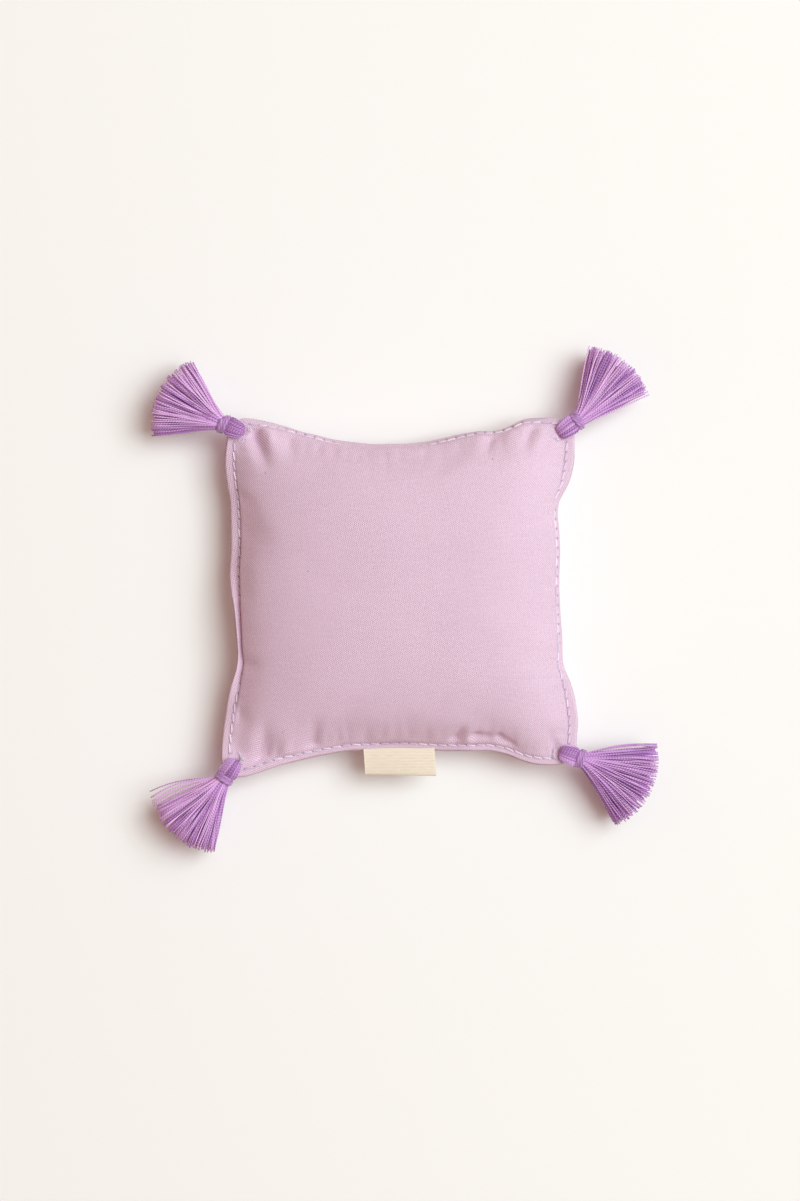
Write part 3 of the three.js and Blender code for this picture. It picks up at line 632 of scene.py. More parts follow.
def unit(vectors):
    """Vectors brought to a length of 1."""
    return vectors / np.maximum(np.linalg.norm(vectors, axis=-1, keepdims=True), 1e-12)


def run_length(path):
    """The length of a path, or of each of several, up to each of its points."""
    steps = np.linalg.norm(np.diff(path, axis=-2), axis=-1)
    return np.concatenate([0 * steps[..., :1], np.cumsum(steps, axis=-1)], axis=-1)


def copy_in_place(piece, count):
    """Makes copies of a piece that lie on one another, to be moved apart."""
    copies = piece.modifiers.new("Copies", "ARRAY")
    copies.count = count
    copies.use_relative_offset = False
    apply_modifier(piece, copies)


def thread_model(name, rings, sides):
    """A plain thread standing on end, cut into rings."""
    deselect_all()
    bpy.ops.mesh.primitive_cylinder_add(vertices=sides, radius=1, depth=rings - 1,
                                        end_fill_type="NGON")
    piece = named(name)
    heights = points_of(piece)[:, 2]
    ends = np.array([edge.vertices[:] for edge in piece.data.edges])
    upright = np.abs(heights[ends[:, 0]] - heights[ends[:, 1]]) > 0.5
    edit_mesh(piece, bpy.ops.mesh.subdivide, upright, "EDGE", number_cuts=rings - 2)
    return piece


def map_thread(piece, ring, turn, length):
    """A map of mm along each thread and the share of a turn round it."""
    starts = np.empty(len(piece.data.polygons), int)
    piece.data.polygons.foreach_get("loop_start", starts)

    def along_and_round(corner):
        thread, vertex = np.divmod(corner, len(ring))
        share = (turn[vertex] / (2 * np.pi)) % 1.0
        first = np.repeat(share[starts], np.diff(np.append(starts, len(corner))))
        return np.stack([length[thread, ring[vertex]], share - np.round(share - first)], axis=-1)

    map_corners(piece, "thread", along_and_round)


def lay_threads(name, paths, radii, shades, sides=6):
    """Threads along paths (thread, ring, xyz) with radii (thread, ring), in mm."""
    paths, radii = np.asarray(paths, float), np.asarray(radii, float)
    count, rings = radii.shape
    piece = thread_model(name, rings, sides)
    model = points_of(piece)
    ring = np.rint(model[:, 2] + (rings - 1) / 2).astype(int)
    turn = np.arctan2(model[:, 1], model[:, 0])
    copy_in_place(piece, count)
    ahead = unit(np.gradient(paths, axis=1))
    side = np.empty_like(ahead)
    guess = np.where(np.abs(ahead[:, 0, 2:3]) < 0.8, [[0, 0, 1.0]], [[1.0, 0, 0]])
    for step in range(rings):
        along = (guess * ahead[:, step]).sum(axis=-1, keepdims=True)
        guess = side[:, step] = unit(guess - ahead[:, step] * along)
    other = np.cross(ahead, side)
    cosine, sine = np.cos(turn)[:, None], np.sin(turn)[:, None]
    reach = cosine * side[:, ring] + sine * other[:, ring]
    laid = paths[:, ring] + radii[:, ring, None] * reach
    place_points(piece, laid.reshape(-1, 3) * MM)
    map_thread(piece, ring, turn, run_length(paths))
    tone = piece.data.attributes.new("shade", "FLOAT", "POINT")
    tone.data.foreach_set("value", np.repeat(np.asarray(shades, np.float32), len(model)))
    pick(piece)
    bpy.ops.object.shade_smooth()
    return piece


print("thread helpers ready")

# %% [markdown]
# ## Topstitching
# A lockstitch shows as a row of short dashes that dive into the cloth at both
# ends and lean a little. They follow the same rule as the flange, so they stay on
# it where it ripples. The needle thread is on the face, the bobbin thread below.

# %% Needle and bobbin stitches
STITCH_PITCH = 2.7
STITCH_SHOWN = 2.5
STITCH_INSET = 1.95
STITCH_RADIUS = 0.22
STITCH_SPAN = (-46.0, 44.0)
STITCH_SEEDS = {1: 21, -1: 22}
STITCH_SHADE_SEED = 5
HOLE_CLEARANCE = 2.4
STITCH_STEPS = np.array([0, 0.08, 0.25, 0.5, 0.75, 0.92, 1.0])
STITCH_RISE = np.array([-0.3, 0.06, 0.17, 0.2, 0.17, 0.06, -0.3])
STITCH_TAPER = np.array([0.7, 0.95, 1.05, 1.05, 1.05, 0.95, 0.7])


def stitch_paths(up, spread):
    """Every dash on the four sides of one panel."""
    chance = np.random.default_rng(STITCH_SEEDS[up])
    paths = []
    line = 1 - STITCH_INSET / HALF
    for side, (out_x, out_y) in SIDE_OUT.items():
        for place in np.arange(*STITCH_SPAN, STITCH_PITCH):
            start = place + chance.uniform(-0.12, 0.12)
            along = (start + STITCH_SHOWN * STITCH_STEPS) / HALF
            across = line + (STITCH_STEPS - 0.5) * chance.uniform(0.3, 0.55) / HALF
            a, b = (out_x * across, along) if out_x else (along, out_y * across)
            tilt = np.radians(line_at(TILT_LINES, side, HALF * along))
            out, rise = up * STITCH_RISE * np.sin(tilt), up * STITCH_RISE * np.cos(tilt)
            path = cloth_form(a, b, up, 0.0, spread)
            path += np.stack([out_x * out, out_y * out, rise], axis=-1)
            middle = path[len(path) // 2, :2]
            if min(np.hypot(*(middle - hole)) for hole in HOLES.values()) > HOLE_CLEARANCE:
                paths.append(path)
    return np.array(paths)


def stitch_row(name, up, spread, solid):
    """One panel's row of stitches, in place of a CAD solid."""
    paths = stitch_paths(up, spread)
    radii = np.tile(STITCH_RADIUS * STITCH_TAPER, (len(paths), 1))
    shades = np.random.default_rng(STITCH_SHADE_SEED).uniform(0, 1, len(paths))
    piece = lay_threads(name, paths, radii, shades)
    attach(piece, "sachet")
    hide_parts(solid)
    print(name, "stitches:", len(paths))
    return piece


needle_stitches = stitch_row("needle_stitches", 1, 0.0, "needle_thread")
bobbin_stitches = stitch_row("bobbin_stitches", -1, BACK_SPREAD, "bobbin_thread")

# %% [markdown]
# ## Tassels
# Each tassel is one bundle of floss folded through a hole in the corner, bound
# round its neck and cut. In its own frame the bundle starts at the hole and runs
# out along one axis. The CAD model gives the stations along it. The fans differ:
# the photograph gives each its heading, its width and its stray strands.

# %% Places and lies of the four tassels
TASSEL_COLUMNS = ("heading", "aside", "fan", "bound", "bend", "strand", "painted_light_pale", "seed")
# Degrees: heading, skirt's turn aside, fan. Mm: hole to binding, hole to bend, strand.
# Then the palest shade among the strands, set per tassel as painted light and shade, lower where a
# tassel faces the lamp, and a seed.
TASSEL_ROWS = {
    "top_left": (157, -5, 74, 5.0, 9.8546, 19.2, 1.1, 3),
    "top_right": (36, 16, 59, 5.3, 9.8199, 20.3, 1.0, 4),
    "bottom_left": (235, -3, 60, 5.1, 10.0796, 20.0, 1.25, 5),
    "bottom_right": (-19, -8, 73, 5.0, 9.8632, 20.6, 0.7, 6),
}
TASSELS = {corner: dict(zip(TASSEL_COLUMNS, row)) for corner, row in TASSEL_ROWS.items()}
BOUND_LENGTH = 2.6
NECK_GAP = 0.3


def stations_of(corner):
    """The ends of the binding and of its gaps, as distances from the hole in mm."""
    start = TASSELS[corner]["bound"] - BOUND_LENGTH / 2
    end = TASSELS[corner]["bound"] + BOUND_LENGTH / 2
    return {"neck": start - NECK_GAP, "start": start, "end": end, "waist": end + NECK_GAP}


def chance_of(corner, extra=0):
    """A tassel's own seeded generator, a different one for each use."""
    return np.random.default_rng(TASSELS[corner]["seed"] + extra)


def in_the_corner(corner, local):
    """Points of a tassel's own frame (out, sideways, up) put at its corner."""
    turn = np.radians(TASSELS[corner]["heading"])
    out, sideways = np.array([[np.cos(turn), np.sin(turn)], [-np.sin(turn), np.cos(turn)]])
    local = np.asarray(local, float)
    flat = np.array(HOLES[corner]) + local[..., :1] * out + local[..., 1:2] * sideways
    return np.concatenate([flat, local[..., 2:] + SEAM_HEIGHT], axis=-1)


# %% Loop of parallel threads through the hole
LOOP_ACROSS = 15
LOOP_LAYERS = 3
LOOP_RINGS = 29
LOOP_RADII = (0.1, 0.18)
# Painted shade: the loop's threads keep to darker shades, standing for the shade in the gaps
# between them.
LOOP_SHADED_PALE = 0.75


def smooth_path(points, count):
    """A curve through points, at even steps of its length."""
    points = np.asarray(points, float)
    ends = np.concatenate([2 * points[:1] - points[1:2], points, 2 * points[-1:] - points[-2:-1]])
    share = np.linspace(0, 1, 17)[:-1, None]
    runs = []
    for p0, p1, p2, p3 in zip(ends[:-3], ends[1:-2], ends[2:-1], ends[3:]):
        runs.append(0.5 * (2 * p1 + (p2 - p0) * share
                           + (2 * p0 - 5 * p1 + 4 * p2 - p3) * share ** 2
                           + (3 * p1 - p0 - 3 * p2 + p3) * share ** 3))
    dense = np.concatenate([*runs, points[-1:]])
    length = run_length(dense)
    even = np.linspace(0, length[-1], count)
    return np.stack([np.interp(even, length, column) for column in dense.T], axis=-1)


def loop_paths(corner):
    """The bundle's threads from the binding, over the edge, down the hole and back below."""
    chance = chance_of(corner)
    neck, end = stations_of(corner)["neck"], stations_of(corner)["end"]
    spine = smooth_path([  # out, up, half width of the bundle, half thickness
        (end, 0.95, 1.7, 0.6), (neck + 0.8, 1.3, 2.1, 0.6), (neck - 0.4, 2.1, 2.65, 0.6),
        (0.45 * neck, 2.5, 2.4, 0.6), (0.0, 2.35, 2.1, 0.55), (-0.75, 1.55, 1.5, 0.5),
        (-0.3, 0.6, 0.75, 0.42), (-0.1, -0.6, 0.6, 0.4), (-0.1, -1.7, 0.8, 0.4),
        (0.4, -2.6, 1.6, 0.5), (0.45 * neck, -2.85, 2.35, 0.5), (neck - 0.2, -2.4, 2.55, 0.5),
        (neck + 0.9, -1.7, 2.1, 0.5), (end, -1.05, 1.7, 0.6)], LOOP_RINGS)
    along = unit(np.gradient(spine[:, :2], axis=0))
    outward = np.stack([along[:, 1], -along[:, 0]], axis=-1)
    wide, thick = spine[:, 2], spine[:, 3]
    paths = []
    for layer in np.linspace(-1, 1, LOOP_LAYERS):
        for place in np.linspace(-1, 1, LOOP_ACROSS):
            place = place + chance.uniform(-0.03, 0.03)
            bulge = 1 - 0.3 * place ** 2
            lift = layer * thick * bulge - (1 - bulge) * thick + chance.uniform(-0.04, 0.04)
            flat = spine[:, :2] + outward * lift[:, None]
            paths.append(np.stack([flat[:, 0], place * wide, flat[:, 1]], axis=-1))
    radii = np.clip(wide / LOOP_ACROSS, *LOOP_RADII)
    return in_the_corner(corner, paths), np.tile(radii, (len(paths), 1))


loops = {}
for corner in TASSELS:
    paths, radii = loop_paths(corner)
    shades = chance_of(corner, 40).uniform(0, LOOP_SHADED_PALE, len(paths))
    loops[corner] = lay_threads(f"{corner}_loop", paths, radii, shades)
    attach(loops[corner], f"tassel_{corner}")
    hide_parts(f"tassel_{corner}_head")
print("threads in a loop:", len(paths))

# %% Binding wound round the neck
WRAP_POINTS = 96
WRAP_SIDES = 10
WRAP_REACH = 2.4
WRAP_TUCK = 0.9
TUCK_SHARE = 0.06
WRAP_SHADE = 0.35
WRAPS = {  # turns, thread radius, lean of each turn, its direction
    "top_left": (2.4, 0.5, 0.5, 0.9),
    "top_right": (2.3, 0.52, 0.5, 2.2),
    "bottom_left": (3.1, 0.42, 0.4, 1.4),
    "bottom_right": (2.6, 0.46, 0.45, 0.4),
}
bindings = {}
for corner, (turns, thick, lean, way) in WRAPS.items():
    places = stations_of(corner)
    share = np.linspace(0, 1, WRAP_POINTS)
    angle = 2 * np.pi * turns * share
    slack = 0.16 * np.sin(2.3 * angle + way) + 0.1 * np.sin(0.7 * angle)
    first, last = places["start"] + thick, places["end"] - thick
    out = first + (last - first) * share + lean * 0.5 * np.cos(angle - way)
    tucked = 1 - ease(share / TUCK_SHARE) + ease((share - 1 + TUCK_SHARE) / TUCK_SHARE)
    reach = WRAP_REACH + 0.14 * slack - WRAP_TUCK * tucked
    path = np.stack([out, reach * np.cos(angle), reach * np.sin(angle)], axis=-1)
    radius = thick * (1 + 0.18 * np.sin(angle * 0.45 + way))
    bindings[corner] = lay_threads(f"{corner}_binding_wrap", in_the_corner(corner, path[None]),
                                   radius[None], [WRAP_SHADE], WRAP_SIDES)
    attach(bindings[corner], f"tassel_{corner}")
    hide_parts(f"tassel_{corner}_binding")
print("turns of binding:", {corner: wrap[0] for corner, wrap in WRAPS.items()})

# %% Strands of the four skirts
STRAYS = {  # side, degrees past the fan, how far up, how bowed
    "top_left": [(1, 1, .2, 1.2)],
    "top_right": [(-1, 2, .3, 1.3), (1, 1, .2, 1.2)],
    "bottom_left": [(-1, 14, .5, 1.5), (-1, 9, .9, 1.7), (-1, 6, .4, 1.6), (-1, 4, .7, 1.8),
                    (-1, 2, .2, 1.5)],
    "bottom_right": [(1, 2, .7, 1.55), (1, 1, .5, 1.75), (1, 0, .9, 1.65), (1, -1, .3, 1.85)],
}
STRAND_LAYERS = 8
STRANDS_ACROSS = 36
STRAND_RINGS = 12
STRAND_SIDES = 5
STRAND_ROOT = 0.14
STRAND_TIP = 0.2
ROOT_INSIDE = 2.2
ROOT_WIDE = 1.6
ROOT_HIGH = 1.45
CLUMPS = 9
SKIRT_DROP = -12.0
SKIRT_DEPTH = 16.0
BEND_REACH = 2.5


def heading_of(side, lift):
    """A direction in a tassel's frame from its angles sideways and up."""
    return np.array([np.cos(lift) * np.cos(side), np.cos(lift) * np.sin(side), np.sin(lift)])


def strand_curve(root, side, lift, bow, length, waist):
    """A strand from inside the binding to its tip, on a smooth cubic curve."""
    start = np.array(root, float)
    outward = np.array([waist + 1.5, 1.7 * start[1], 1.7 * start[2]])
    base = np.array([waist, 0.4 * start[1], 0.4 * start[2]])
    shoulder = base + 0.48 * length * heading_of(side * bow, lift * bow)
    tip = base + length * heading_of(side, lift)
    share = np.linspace(0, 1, STRAND_RINGS)[:, None]
    return ((1 - share) ** 3 * start + 3 * share * (1 - share) ** 2 * outward
            + 3 * share ** 2 * (1 - share) * shoulder + share ** 3 * tip)


def skirt_paths(corner):
    """Layers of strands that spread sideways and up and down, and then the strays."""
    tassel, chance = TASSELS[corner], chance_of(corner, 80)
    waist, length = stations_of(corner)["waist"], tassel["strand"]
    half_fan, aside = np.radians(tassel["fan"] / 2), np.radians(tassel["aside"])
    share = np.linspace(0, 1, STRAND_RINGS)
    paths = []
    for layer in np.linspace(-1, 1, STRAND_LAYERS):
        phase = chance.uniform(0, 2 * np.pi)
        for place in np.linspace(-1, 1, STRANDS_ACROSS):
            gathered = place + 0.016 * np.sin(np.pi * CLUMPS * place + phase)
            spot = np.clip(gathered + chance.uniform(-0.02, 0.02), -1, 1)
            side = half_fan * spot * np.sqrt(1 - 0.15 * layer ** 2)
            depth = layer * np.sqrt(max(0.15, 1 - 0.8 * spot ** 2)) + chance.uniform(-0.1, 0.1)
            lift = np.radians(SKIRT_DROP + SKIRT_DEPTH * depth)
            shorter = 0.05 * chance.random() ** 2
            shorter += 0.04 * (1 - abs(layer)) * chance.random()
            root = (waist - ROOT_INSIDE, ROOT_WIDE * spot * np.sqrt(1 - 0.75 * layer ** 2),
                    ROOT_HIGH * layer)
            path = strand_curve(root, side + aside, lift, chance.uniform(1.0, 1.2),
                                length * (1 - shorter), waist)
            wave = ease(share * 1.6) * chance.uniform(0.05, 0.32)
            turn = chance.uniform(0, 2 * np.pi)
            curl = ease((share - 0.8) / 0.2) * chance.uniform(0, 0.35)
            path[:, 1] += wave * np.sin(5.5 * share + turn) + curl * np.cos(turn)
            path[:, 2] += wave * np.cos(4.1 * share + turn) + curl * np.sin(turn)
            paths.append(path)
    for way, past, rise, bow in STRAYS[corner]:
        side = way * (half_fan + np.radians(past)) + aside
        root = (waist - ROOT_INSIDE, way * 1.4, 0.6 * rise)
        lift = np.radians(4 * rise - 3)
        paths.append(strand_curve(root, side, lift, bow, length * 0.99, waist))
    return in_the_corner(corner, paths)


skirts = {}
swell = STRAND_ROOT + (STRAND_TIP - STRAND_ROOT) * ease(np.linspace(0, 1.5, STRAND_RINGS))
for corner, tassel in TASSELS.items():
    paths, chance = skirt_paths(corner), chance_of(corner, 120)
    radii = chance.uniform(0.82, 1.15, len(paths))[:, None] * swell[None]
    # Painted light and shade: each tassel's palest shade is set by how it faces the lamp.
    shades = chance.uniform(0, tassel["painted_light_pale"], len(paths))
    skirts[corner] = lay_threads(f"{corner}_cut_strands", paths, radii, shades, STRAND_SIDES)
    waist, bent = stations_of(corner)["waist"], tassel["bend"] + BEND_REACH
    ends = in_the_corner(corner, [(waist, 0, 0), (bent, 0, 0)]) * MM
    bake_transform(skirts[corner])
    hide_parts(f"tassel_{corner}_skirt")
    print(corner, "strands:", len(paths))

# %% [markdown]
# ## Frayed thread round the holes
# The needle pulled pale threads of the cloth up round each hole. They are short
# arcs that lie on the cotton beside the loop, so they are made as threads too.

# %% Short frayed ends
FRAYS = 13
FRAY_RINGS = 7
FRAY_RADIUS = 0.1
FRAY_SHADE = 0.8
PLAN_STEPS = 12


def fray_paths(corner):
    """Short arcs on the cotton, on the inner side of a corner's hole."""
    chance = chance_of(corner, 200)
    share = np.linspace(0, 1, FRAY_RINGS)
    paths = []
    for _ in range(FRAYS):
        angle = np.pi + chance.uniform(-1.5, 1.5)
        reach = chance.uniform(2.1, 2.9)
        turn = angle + chance.uniform(-0.55, 0.55) * share
        far = reach + chance.uniform(-0.3, 0.7) * share
        local = np.stack([far * np.cos(turn), far * np.sin(turn), 0 * share], axis=-1)
        path = in_the_corner(corner, local)
        a, b = path[:, 0] / HALF, path[:, 1] / HALF
        for _ in range(PLAN_STEPS):  # the flat place whose plan is the path
            x, y = plan(a, b)
            a, b = a + (path[:, 0] - x) / HALF, b + (path[:, 1] - y) / HALF
        cloth = cloth_form(a, b, 1, FACE_RISE)[:, 2]
        path[:, 2] = cloth + 0.06 + 0.14 * np.sin(np.pi * share)
        path[0, 2] -= 0.4
        path[-1, 2] -= 0.3
        paths.append(path)
    return np.array(paths)


fray_all = np.concatenate([fray_paths(corner) for corner in TASSELS])
frayed_ends = lay_threads("frayed_ends", fray_all, np.full(fray_all.shape[:2], FRAY_RADIUS),
                          np.full(len(fray_all), FRAY_SHADE))
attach(frayed_ends, "sachet")
print("frayed ends:", len(fray_all))

# %% [markdown]
# ## The tape label
# The label is one strip of ribbed tape, folded at its lower edge, with both ends
# sewn into the seam. A grid is laid along that folded path and given its
# thickness. It stays one sheet, so at the flange it bends and doesn't break.

# %% Folded tape
TAPE_WIDTH = 20.0
TAPE_MIDDLE = -0.3
TAPE_THICK = 0.25
TAPE_INNER = -40.4
TAPE_FOLD = -50.75
TAPE_FREE = -43.4
TAPE_ACROSS = 41
TAPE_ALONG = 81
SHARP_ANGLE = 50


def tape_surface():
    """The middle of the strip, from one end in the seam round the fold to the other."""
    profile = [(TAPE_INNER, 0.15), (-42.0, 0.15), (-43.6, 0.16), (-45.5, 0.2), (-47.5, 0.24),
               (-49.4, 0.27), (TAPE_FOLD + 0.25, 0.22), (TAPE_FOLD, 0.0)]
    profile = profile + [(y, -z) for y, z in profile[-2::-1]]
    line = smooth_path(profile, TAPE_ALONG)
    across = np.linspace(-1, 1, TAPE_ACROSS)
    y, side = np.meshgrid(line[:, 0], across, indexing="ij")
    z = np.repeat(line[:, 1:], TAPE_ACROSS, axis=1)
    hang = np.clip(TAPE_FREE - y, 0, None)
    x = TAPE_MIDDLE + side * TAPE_WIDTH / 2 + 0.075 * hang
    droop = -0.012 * hang ** 2 + 0.05 * hang * np.sin(2.1 * side + 0.4)
    points = np.stack([x, y - 0.018 * side * hang, SEAM_HEIGHT + z + droop], axis=-1)
    return points, run_length(line)


tape_points, tape_length = tape_surface()
tape_label, row, column = cloth_grid("tape_label", TAPE_ALONG, TAPE_ACROSS)
place_points(tape_label, tape_points[row, column] * MM)
tape_flat = np.stack([column / (TAPE_ACROSS - 1) * TAPE_WIDTH, tape_length[row]], axis=-1)
map_corners(tape_label, "tape", lambda corner: tape_flat[corner])
woven = tape_label.modifiers.new("Tape thickness", "SOLIDIFY")
woven.thickness = TAPE_THICK * MM
woven.offset = 0
apply_modifier(tape_label, woven)
edit_mesh(tape_label, bpy.ops.mesh.normals_make_consistent, inside=False)
bpy.ops.object.shade_smooth_by_angle(angle=np.radians(SHARP_ANGLE))
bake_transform(tape_label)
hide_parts("label_tail", "label_leaf")
print("tape length, mm:", round(float(tape_length[-1]), 1))

# %% [markdown]
# ## Stuffing
# Two layers of wadding fill the cover, and the dried flowers lie between them.
# None of it shows until a seam is opened. Each pad starts as a cube that is
# subdivided and drawn to the inside of the crown, with lumps of loose fibre.

# %% Wadding pads and the heart of flowers
FILL_REACH = 0.84
HEART_REACH = 0.62
HEART_RISE = 4.5
PAD_CUTS = 23
PAD_CLEARANCE = 1.3


def inside_of(surface, up):
    """A panel's surface moved into the cushion, clear of its folds."""
    return surface - PAD_CLEARANCE * outward_of(surface, up)


def sampled(surface, a, b):
    """Points of a panel's grid at shares of the flat cloth."""
    steps = np.arange(len(stations))
    row, column = np.interp(b, stations, steps), np.interp(a, stations, steps)
    low, left = (np.minimum(place.astype(int), steps[-2]) for place in (row, column))
    row, column = (row - low)[:, None], (column - left)[:, None]
    near = surface[low, left] * (1 - column) + surface[low, left + 1] * column
    far = surface[low + 1, left] * (1 - column) + surface[low + 1, left + 1] * column
    return near * (1 - row) + far * row


def level_at(rule):
    """A rule for heights above the seam, made into one for points."""
    def points(a, b):
        return np.stack([*plan(a, b), SEAM_HEIGHT + rule(a, b)], axis=-1)
    return points


def soft_block(name, reach, top, bottom, lump):
    """A subdivided cube drawn to a pad between two surfaces."""
    deselect_all()
    bpy.ops.mesh.primitive_cube_add(size=2)
    piece = named(name)
    edit_mesh(piece, bpy.ops.mesh.subdivide, number_cuts=PAD_CUTS)
    cube = points_of(piece)
    level = cube[:, 2:] / 2 + 0.5
    a, b = reach * cube[:, 0], reach * cube[:, 1]
    low, high = bottom(a, b), top(a, b)
    points = low + (high - low) * level
    x, y = points[:, 0], points[:, 1]
    ripple = 1 + np.sin(x / 3.1 + 1.3 * np.sin(y / 4.3)) * np.sin(y / 3.7)
    points[:, 2] -= lump * ripple * cube[:, 2] * np.clip((high - low)[:, 2] / 3, 0, 1)
    place_points(piece, points * MM)
    pick(piece)
    bpy.ops.object.shade_smooth()
    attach(piece, "sachet")
    return piece


def heart(a, b):
    """Half the height of the flowers between the two pads."""
    a, b = np.minimum(np.abs(a) / HEART_REACH, 1), np.minimum(np.abs(b) / HEART_REACH, 1)
    return HEART_RISE * ((1 - a ** 3) * (1 - b ** 3)) ** 0.55


face_pad = soft_block("face_wadding_pad", FILL_REACH,
                      lambda a, b: sampled(inside_of(face_surface, 1), a, b),
                      level_at(lambda a, b: heart(a, b) + 0.2), 0.3)
back_pad = soft_block("back_wadding_pad", FILL_REACH,
                      level_at(lambda a, b: -heart(a, b) - 0.2),
                      lambda a, b: sampled(inside_of(back_surface, -1), a, b), 0.2)
flower_heart = soft_block("flower_heart", HEART_REACH * 0.97,
                          level_at(lambda a, b: heart(a, b) - 0.1),
                          level_at(lambda a, b: 0.1 - heart(a, b)), 0.15)
for piece, solid, slot in ((face_pad, "face_wadding", "wadding"),
                           (back_pad, "back_wadding", "wadding"),
                           (flower_heart, "lavender_flowers", "flowers")):
    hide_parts(solid)
print("pads:", [piece.name for piece in (face_pad, back_pad, flower_heart)])

# %% Dried buds bedded in the heart
BUDS = 260
BUD_LENGTH = 2.6
BUD_WIDTH = 0.85
BUD_BEDDED = 0.75
BUD_SEED = 11

deselect_all()
bpy.ops.mesh.primitive_ico_sphere_add(subdivisions=1, radius=1)
buds = named("dried_buds")
bud_model = points_of(buds) * [BUD_LENGTH / 2, BUD_WIDTH / 2, BUD_WIDTH / 2]
copy_in_place(buds, BUDS)
chance = np.random.default_rng(BUD_SEED)
spots = chance.uniform(-0.5, 0.5, (BUDS, 2)).T
lifts = chance.choice([-1, 1], BUDS)
axes = unit(np.column_stack([chance.normal(size=(BUDS, 2)), 0.25 * chance.normal(size=BUDS)]))
sides = unit(np.cross(axes, [0, 0, 1.0]))
bud_axes = np.stack([axes, sides, np.cross(axes, sides)], axis=1)
bud_heights = SEAM_HEIGHT + lifts * (heart(*spots) - BUD_BEDDED)
bud_middles = np.stack([*plan(*spots), bud_heights], axis=-1)
place_points(buds, (bud_middles[:, None] + bud_model @ bud_axes) * MM)
edit_mesh(buds, bpy.ops.mesh.normals_make_consistent, inside=False)
bpy.ops.object.shade_smooth()
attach(buds, "sachet")
print("buds:", BUDS)

# %% [markdown]
# ## Materials
# Each finish is a small graph of nodes. The cotton reads the map of the flat
# cloth, so its twill bends with the panel. The threads read how far along and how
# far round a point is, which gives the twist of the plies, painted as highlight
# and shade along each thread. A plain colour would look like plastic, because
# cloth is never even.

# %% Helpers for the node graphs


class Value:
    """A value in a node graph. Sums and products of values are written as such."""

    def __init__(self, tree, socket):
        self.tree, self.socket = tree, socket

    def math(self, operation, *others):
        """A Math node with this value first."""
        inputs = dict(enumerate((self, *others)))
        return node(self.tree, "ShaderNodeMath", inputs, operation=operation)[0]

    def __add__(self, other):
        return self.math("ADD", other)

    def __sub__(self, other):
        return self.math("SUBTRACT", other)

    def __mul__(self, other):
        return self.math("MULTIPLY", other)

    def remap(self, low, high, to_low=0, to_high=1):
        """This value's range moved to another one, with nothing beyond it."""
        inputs = dict(enumerate((self, low, high, to_low, to_high)))
        return node(self.tree, "ShaderNodeMapRange", inputs)[0]

    def wave(self, period=2 * np.pi):
        """A sine with a period, made to run from 0 to 1."""
        return (self * (2 * np.pi / period)).math("SINE").remap(-1, 1)

    def between(self, first, second):
        """The first colour where this is 0 and the second where it is 1."""
        inputs = {0: self, 6: first, 7: second}
        return node(self.tree, "ShaderNodeMix", inputs, data_type="RGBA")[2]


def node(tree, kind, inputs=None, **settings):
    """A node with its settings, values and links. Gives its outputs."""
    made = tree.nodes.new(kind)
    for key, value in settings.items():
        setattr(made, key, value)
    for socket, value in (inputs or {}).items():
        if isinstance(value, Value):
            tree.links.new(value.socket, made.inputs[socket])
        else:
            made.inputs[socket].default_value = value
    return [Value(tree, socket) for socket in made.outputs]


def finish_graph(name, **settings):
    """A new material and its shader with plain values set."""
    material = bpy.data.materials.new(name)
    material.use_nodes = True
    shader = material.node_tree.nodes["Principled BSDF"]
    for socket, value in settings.items():
        shader.inputs[socket.replace("_", " ")].default_value = value
    return material, material.node_tree, shader


def close_graph(shader, colour, height, strength, depth):
    """Gives the shader its colour and a bump of a real depth in mm."""
    bump = {"Height": height, "Strength": strength, "Distance": depth * MM}
    normal = node(colour.tree, "ShaderNodeBump", bump)[0]
    colour.tree.links.new(colour.socket, shader.inputs["Base Color"])
    colour.tree.links.new(normal.socket, shader.inputs["Normal"])


def map_xy(tree, name, scale=1.0):
    """The two coordinates of a map, in mm."""
    uv = node(tree, "ShaderNodeUVMap", uv_map=name)[0]
    return [part * scale for part in node(tree, "ShaderNodeSeparateXYZ", {0: uv})[:2]]


def noise_at(place, scale, detail, **more):
    """Noise at a place in space."""
    inputs = {"Vector": place, "Scale": scale, "Detail": detail, **more}
    return node(place.tree, "ShaderNodeTexNoise", inputs)[0]


def flat_place(x, y):
    """A place on the flat cloth, in mm."""
    return node(x.tree, "ShaderNodeCombineXYZ", {0: x, 1: y})[0]


def object_place(tree):
    """A place in the piece's own frame, in metres."""
    return node(tree, "ShaderNodeTexCoord")[3]


print("graph helpers ready")

# %% Cotton twill
TWILL_PERIOD = 0.468
TWILL_X, TWILL_Y = 0.616, 0.788
FLOAT_PERIOD = 0.62
COTTON_LIGHT = (0.965, 0.735, 0.89, 1)
COTTON_DARK = (0.575, 0.375, 0.515, 1)
COTTON_WORN = (0.92, 0.77, 0.87, 1)
NEEDLE_HOLE_SHADE = (0.30, 0.17, 0.28, 1)
SPECK_COLOUR = (0.16, 0.08, 0.14, 1)
HOLE_SHADE_START = -STITCH_SPAN[0] - HALF + (STITCH_PITCH - STITCH_SHOWN) / 2

